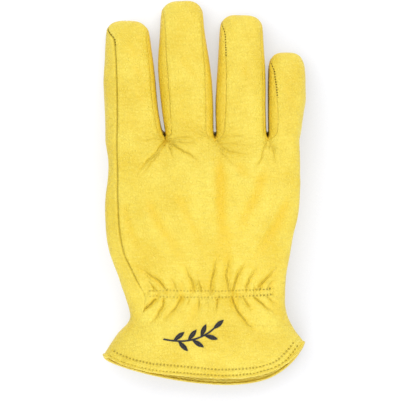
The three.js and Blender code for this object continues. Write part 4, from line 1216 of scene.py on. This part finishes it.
# Forked strips: slim strips of the same leather that make the fingers' sides, from one fingertip
# down through the fork and up to the next. They wrinkle in the fork, and golden painted shade lies on
# them, more where they are steep.
STRIP = {"ridge": 0.25, "lie": 0.5, "wrinkle": 0.4, "wrinkle_reach": 9.0, "wrinkle_size": 1.7, "fold": 0.22,
         "steep_shade": 0.22, "steep_below": 0.5}
STRIP_STRETCH = np.array([3.0, 1.0, 2.0])  # of the wrinkles
for strip, normals, (left_name, right_name) in zip(strips, strip_normals, neighbours):
    points = strip.reshape(-1, 3)
    seam_at = np.minimum(*row_lengths(strip)).reshape(-1)
    near_fork = hump(points[:, 1] - ROOT_Y, STRIP["wrinkle_reach"])
    wrinkles = STRIP["wrinkle"] * near_fork * value_noise(points / STRIP_STRETCH, STRIP["wrinkle_size"], 33)
    relief = seam_relief(seam_at, STRIP["ridge"]) + STRIP["lie"] * lie_relief(points) + wrinkles
    # Golden painted shade on the strips, more on their steep faces.
    steepness = 1 - smooth(np.abs(normals[..., 2].reshape(-1)), 0.0, STRIP["steep_below"])
    fold = STRIP["fold"] + STRIP["steep_shade"] * steepness
    name = f"{left_name}_{right_name}"
    sewn_panel(f"leather_fork_{name}", [strip], [normals], relief, fold, f"fork_strip_{name}",
               with_seam_line(seam_at, seam_shown(points)))

# Thumb: two halves of the same leather, sewn together at the sides, that grow out of the palm and lie
# folded flat under it. The palm has a hole where the thumb goes in.
THUMB = table("out x y half crown side floor", [
    (0.0, -37.0, -49.0, 14.5, 27.0, 21.5, 16.0),
    (22.0, -35.0, -33.0, 17.5, 22.5, 14.2, 6.0),
    (45.0, -27.5, -13.0, 17.0, 15.3, 7.9, 1.0),
    (68.0, -16.5, 6.0, 16.0, 14.8, 7.2, -0.5),
    (98.0, -4.0, 31.0, 14.0, 11.4, 5.6, -0.6),
])
THUMB_TIP = THUMB["out"][-1]
THUMB_FIT = 0.35  # how far outside the thumb the palm's hole lies
THUMB_BLUNT = 0.05  # how far before the thumb's tip the form of that hole ends
THUMB_COLUMNS = 36  # of each half
THUMB_ROW = 1.2
THUMB_LIE = 0.6
THUMB_SEAM = 0.5
HOLLOW = {"columns": 96, "rows": 60}  # of the hand's hollow, which the thumb's root opens into


def thumb_point(angle, out, offset=0.0):
    """The thumb's surface: a section across its path, set square to the path, that rounds off at the
    tip, moved outwards by an offset."""
    across, up = section(angle)
    width, height, _ = tip_shares(out, THUMB_TIP)
    ahead = np.minimum(THUMB_TIP, out + 1)
    steps = [along(THUMB, axis, ahead) - along(THUMB, axis, ahead - 1) for axis in "xy"]
    forward = unit(np.stack(steps, axis=-1))
    reach = (along(THUMB, "half", out) + offset) * width * across
    x = along(THUMB, "x", out) + forward[..., 1] * reach
    y = along(THUMB, "y", out) - forward[..., 0] * reach
    z = np.maximum(-offset, height_at(THUMB, out, up * height) + up * height * offset)
    return np.stack(np.broadcast_arrays(x, y, z), axis=-1)


def tube_faces(count, size):
    """Triangles of a closed tube through rings of points, with a fan at each end. The middle points of
    the two end rings come after all the rings."""
    index = np.arange(count * size).reshape(count, size)
    onward = np.roll(index, -1, axis=1)
    low, high = np.full(size, count * size), np.full(size, count * size + 1)
    return np.concatenate([
        *cell_faces(index[:-1], onward[:-1], onward[1:], index[1:]),
        np.stack([index[0], low, onward[0]], -1),
        np.stack([index[-1], onward[-1], high], -1),
    ])


def closed_form(rings):
    """A closed form through rings of points. Returns its points and faces."""
    points = np.concatenate([rings.reshape(-1, 3), rings[0].mean(0)[None], rings[-1].mean(0)[None]])
    return points, tube_faces(*rings.shape[:2])


def cut_away(piece, points, faces):
    """Takes a closed form out of a piece with a Boolean, which is then applied."""
    cutter = new_piece("cutter", points, faces, [glove_leather])
    take = piece.modifiers.new("cut", "BOOLEAN")
    take.operation, take.solver, take.object = "DIFFERENCE", "MANIFOLD", cutter
    cut_mesh = bpy.data.meshes.new_from_object(piece.evaluated_get(bpy.context.evaluated_depsgraph_get()))
    piece.modifiers.clear()
    piece.data = cut_mesh
    bpy.data.objects.remove(cutter)


rounding = THUMB_TIP - TIP["length"]
straight = np.linspace(0, rounding, round(rounding / THUMB_ROW) + 1)
thumb_outs = np.concatenate([straight, tip_rows(rounding, THUMB_ROW)])
thumb_halves = []
for first_angle in (math.pi, 0.0):
    angle, out = np.meshgrid(first_angle - np.linspace(0, math.pi, THUMB_COLUMNS + 1), thumb_outs)
    thumb_halves.append(thumb_point(angle, out))
first, joined, faces = weld(thumb_halves)
thumb_normals = sheet_normals(listed(thumb_halves)[first], faces)[joined].reshape(2, *thumb_halves[0].shape)

turns = math.pi - TURN * (np.arange(HOLLOW["columns"]) + 0.5) / HOLLOW["columns"]
angle, down = np.meshgrid(turns, np.linspace(0, ELASTIC_DOWN, HOLLOW["rows"]))
hollow = hand_point(angle, down)
round_step = np.roll(hollow, -1, axis=1) - np.roll(hollow, 1, axis=1)
hollow_normals = unit(np.cross(round_step, np.gradient(hollow, axis=0)))
outward = np.sign((hollow_normals * (hollow - hollow.mean(axis=1, keepdims=True))).sum())
hollow_form = closed_form(hollow - outward * WALL * hollow_normals)
for name, half, normals in zip(("front", "back"), thumb_halves, thumb_normals):
    points = half.reshape(-1, 3)
    seam_at = np.minimum(*row_lengths(half)).reshape(-1)
    relief = seam_relief(seam_at, STRIP["ridge"]) + THUMB_LIE * lie_relief(points)
    fold = np.full(len(points), PLAIN_FOLD)
    sewn_panel(f"leather_thumb_{name}", [half], [normals], relief, fold, f"thumb_{name}",
               with_seam_line(seam_at, THUMB_SEAM))
    cut_away(bpy.data.objects[f"leather_thumb_{name}"], *hollow_form)
turns = math.pi - TURN * np.arange(2 * THUMB_COLUMNS) / (2 * THUMB_COLUMNS)
angle, out = np.meshgrid(turns, np.minimum(thumb_outs, THUMB_TIP - THUMB_BLUNT))
cut_away(bpy.data.objects["leather_palm"], *closed_form(thumb_point(angle, out, THUMB_FIT)))

# Bead: a narrow strip of the same leather folded over the cuff's edge all the way round, stitched
# through under the fold, so that it stands a little proud as a bright roll. It is cut from the
# smoothest part of the hide. Under the palm it is thicker, as the turned hem rolls up there.
BEAD = {"half": 1.2, "proud": 0.85, "gap": -0.2, "lip": 0.3, "lip_faces_down": (0.3, 0.8), "sides": 20,
        "rounds": 6}
BINDING = {**LEATHER, "light": "#fde75c", "deep": "#eccb33", "wrinkle": 1.6, "painted_shade": None}
binding_leather = grain_leather("binding_leather", BINDING)


def loop_faces(count, size):
    """Triangles of a tube through rings of points whose last ring joins the first."""
    index = np.arange(count * size).reshape(count, size)
    onward = np.roll(index, -1, axis=1)
    return np.concatenate(cell_faces(index, onward, np.roll(onward, -1, axis=0), np.roll(index, -1, axis=0)))


def mouth_ring(back_rows, palm_rows, row):
    """A row of points all the way round the mouth, from the back's row and then the palm's."""
    return np.concatenate([back_rows[row][:-1], palm_rows[row][:-1]])


mouth_edge = mouth_ring(hand_back_outer, hand_palm_outer, 0)
beyond = unit(mouth_edge - mouth_ring(hand_back_outer, hand_palm_outer, 2))
outwards = mouth_ring(back_normals[-1], palm_normals[-1], 0)
outwards = unit(outwards - beyond * (outwards * beyond).sum(axis=1, keepdims=True))
for smoothing in range(BEAD["rounds"]):
    beyond, outwards = (
        (np.roll(v, 1, axis=0) + 2 * v + np.roll(v, -1, axis=0)) / 4 for v in (beyond, outwards)
    )
turn = TURN * np.arange(BEAD["sides"]) / BEAD["sides"]  # round an ellipse, out of and beyond the edge
lip = BEAD["lip"] * smooth(-outwards[:, 2:], *BEAD["lip_faces_down"])
out = -WALL / 2 - lip + (WALL / 2 + BEAD["proud"] + lip) * np.cos(turn)
on = BEAD["gap"] + BEAD["half"] + BEAD["half"] * np.sin(turn)
points = mouth_edge[:, None] + outwards[:, None] * out[..., None] + beyond[:, None] * on[..., None]
points[..., 2] = np.maximum(points[..., 2], 0.0)
points, faces = points.reshape(-1, 3), loop_faces(len(mouth_edge), BEAD["sides"])
bead = new_piece("leather_bead", points, faces, [binding_leather])
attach(bead, "root")
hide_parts("cuff_binding")

# Facing: the leather turned in behind the hem, a thinner band inside the cuff that ends with the
# inner row of stitches.
FACING = {"deep": 12.0, "outer": 2.75, "inner": 3.75}
facing_rows = int(np.searchsorted(hand_downs[0] - hand_downs, FACING["deep"])) + 1
facing_points, facing_normals = (
    np.concatenate([back[:facing_rows, :-1], palm[:facing_rows, :-1]], axis=1)
    for back, palm in ((hand_back, hand_palm), (back_normals[-1], palm_normals[-1]))
)
outer, inner = (facing_points - facing_normals * FACING[side] for side in ("outer", "inner"))
profile = np.concatenate([outer, inner[::-1]])
points, faces = profile.reshape(-1, 3), loop_faces(*profile.shape[:2])
facing = new_piece("leather_facing", points, faces, [binding_leather])
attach(facing, "root")
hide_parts("cuff_facing")

# Emblem: a sprig of leaves in satin stitch, black machine thread laid side by side over a low
# padding. Each half of a leaf is its own run of threads, which meet along the rib.
SPRIG = {
    "place": (-4.4, -94.5), "stem": [(-21.0, -4.0), (0.0, -8.5), (13.0, 3.5)], "stem_half": 0.75,
    "stem_slant": 62.0, "leaf": 9.5, "leaf_bulge": 3.4, "spread": 44.0, "pairs": [0.16, 0.42, 0.68],
    "stagger": 0.08, "last": 0.97,
}
THREAD = {"pitch": 0.36, "half": 0.23, "thick": 0.2, "slant": 0.45, "lift": 0.1, "pad": 0.3, "past_rib": 0.05,
          "leaf_ends": 0.03, "rings": 5, "sides": 6}
CUFF_REACH = 60.0  # how far up from the mouth the sheet under the emblem goes
LOOKED_UP = 64  # places on the sheet looked up at a time


def on_sheet(grid, xy):
    """Points of a sheet straight above places on the table, and its normals there: the nearest point
    of its grid, moved within the plane through that point's neighbours."""
    rows, columns = grid.shape[:2]
    listed = grid.reshape(-1, 3)[:, :2]
    parts = np.array_split(xy, max(1, len(xy) // LOOKED_UP))
    nearest = np.concatenate([
        np.argmin(((listed[None] - part[:, None]) ** 2).sum(-1), axis=1) for part in parts
    ])
    i = np.clip(nearest // columns, 1, rows - 2)
    j = np.clip(nearest % columns, 1, columns - 2)
    normal = np.cross(grid[i + 1, j] - grid[i - 1, j], grid[i, j + 1] - grid[i, j - 1])
    normal = np.sign(normal[:, 2:]) * unit(normal)
    away = xy - grid[i, j, :2]
    z = grid[i, j, 2] - (normal[:, :2] * away).sum(-1) / normal[:, 2]
    return np.concatenate([xy, z[:, None]], axis=1), normal


def strands(grid, starts, ends):
    """Short threads laid on a sheet from starts to ends: rings of an ellipse as wide as the thread,
    which shrink to a point at both ends, lifted off the sheet, and more so in their middle."""
    rings, sides = THREAD["rings"], THREAD["sides"]
    share = (np.arange(rings + 2) / (rings + 1))[None, :, None]
    xy = starts[:, None] * (1 - share) + ends[:, None] * share
    middle, normal = (v.reshape(*xy.shape[:2], 3) for v in on_sheet(grid, xy.reshape(-1, 2)))
    middle = middle + normal * (THREAD["lift"] + THREAD["pad"] * 4 * share * (1 - share))
    sideways = unit(np.cross(normal, middle[:, -1:] - middle[:, :1]))
    turn = (TURN * np.arange(sides) / sides)[:, None]
    rim = THREAD["half"] * np.cos(turn) * sideways[:, :, None]
    rim = rim + THREAD["thick"] * np.sin(turn) * normal[:, :, None]
    swell = np.sqrt(1 - np.abs(2 * share - 1) ** 3)[..., None]
    tube = (middle[:, :, None] + rim * swell)[:, 1:-1]
    count, per = len(starts), rings * sides
    points = np.concatenate([tube.reshape(count, per, 3), middle[:, :1], middle[:, -1:]], axis=1)
    faces = tube_faces(rings, sides)[None] + (np.arange(count) * (per + 2))[:, None, None]
    return points.reshape(-1, 3), faces.reshape(-1, 3)


def bezier(points, t):
    """A quadratic curve through its first and last points, and its direction."""
    p, q, r = (np.asarray(v, float) for v in points)
    t = np.asarray(t, float)[..., None]
    where = p * (1 - t) ** 2 + 2 * q * t * (1 - t) + r * t * t
    return where, unit((q - p) * (1 - t) + (r - q) * t)


def turned(v, degrees):
    """Directions on the table turned anticlockwise, as seen from above."""
    angle = math.radians(degrees)
    return np.stack([
        v[..., 0] * math.cos(angle) - v[..., 1] * math.sin(angle),
        v[..., 0] * math.sin(angle) + v[..., 1] * math.cos(angle),
    ], axis=-1)


def leaf_threads(base, heading):
    """Threads of a leaf, from its rib out to each side: the half-width is 2 u (1 - u) bulge at a
    share u of its length, and each thread slants forward."""
    u = np.linspace(THREAD["leaf_ends"], 1 - THREAD["leaf_ends"], round(SPRIG["leaf"] / THREAD["pitch"]))
    half = (2 * u * (1 - u) * SPRIG["leaf_bulge"])[:, None]
    rib = base + heading * (u * SPRIG["leaf"])[:, None]
    forward = heading * THREAD["slant"] * half / 2
    aside = turned(heading, 90)
    starts = [rib - forward - side * aside * THREAD["past_rib"] for side in (1, -1)]
    ends = [rib + forward + side * aside * half for side in (1, -1)]
    return np.concatenate(starts), np.concatenate(ends)


stem = np.array(SPRIG["place"]) + np.array(SPRIG["stem"])
stem_length = travelled(bezier(stem, np.linspace(0, 1, 60))[0])[-1]
at, heading = bezier(stem, np.linspace(0, 1, round(stem_length / THREAD["pitch"])))
aside = turned(heading, SPRIG["stem_slant"]) * SPRIG["stem_half"]
runs = [(at - aside, at + aside)]
for share in SPRIG["pairs"]:
    for side in (1, -1):
        base, heading = bezier(stem, share + (SPRIG["stagger"] if side < 0 else 0))
        runs.append(leaf_threads(base, turned(heading, side * SPRIG["spread"])))
runs.append(leaf_threads(*bezier(stem, SPRIG["last"])))
starts, ends = (np.concatenate(v) for v in zip(*runs))
cuff_rows = int(np.searchsorted(hand_downs[0] - hand_downs, CUFF_REACH))
points, faces = strands(hand_back_outer[:cuff_rows], starts, ends)
EMBROIDERY = {"deep": "#0d0c10", "light": "#2b2a31", "fibre": 0.5, "detail": 2.0, "bump": 0.4, "height": 0.05,
              "roughness": 0.38, "sheen": 0.3}
black_thread = soft_fibres("black_embroidery_thread", EMBROIDERY)
sprig = new_piece("embroidered_sprig", points, faces, [black_thread])
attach(sprig, "root")
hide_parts("cuff_motif")
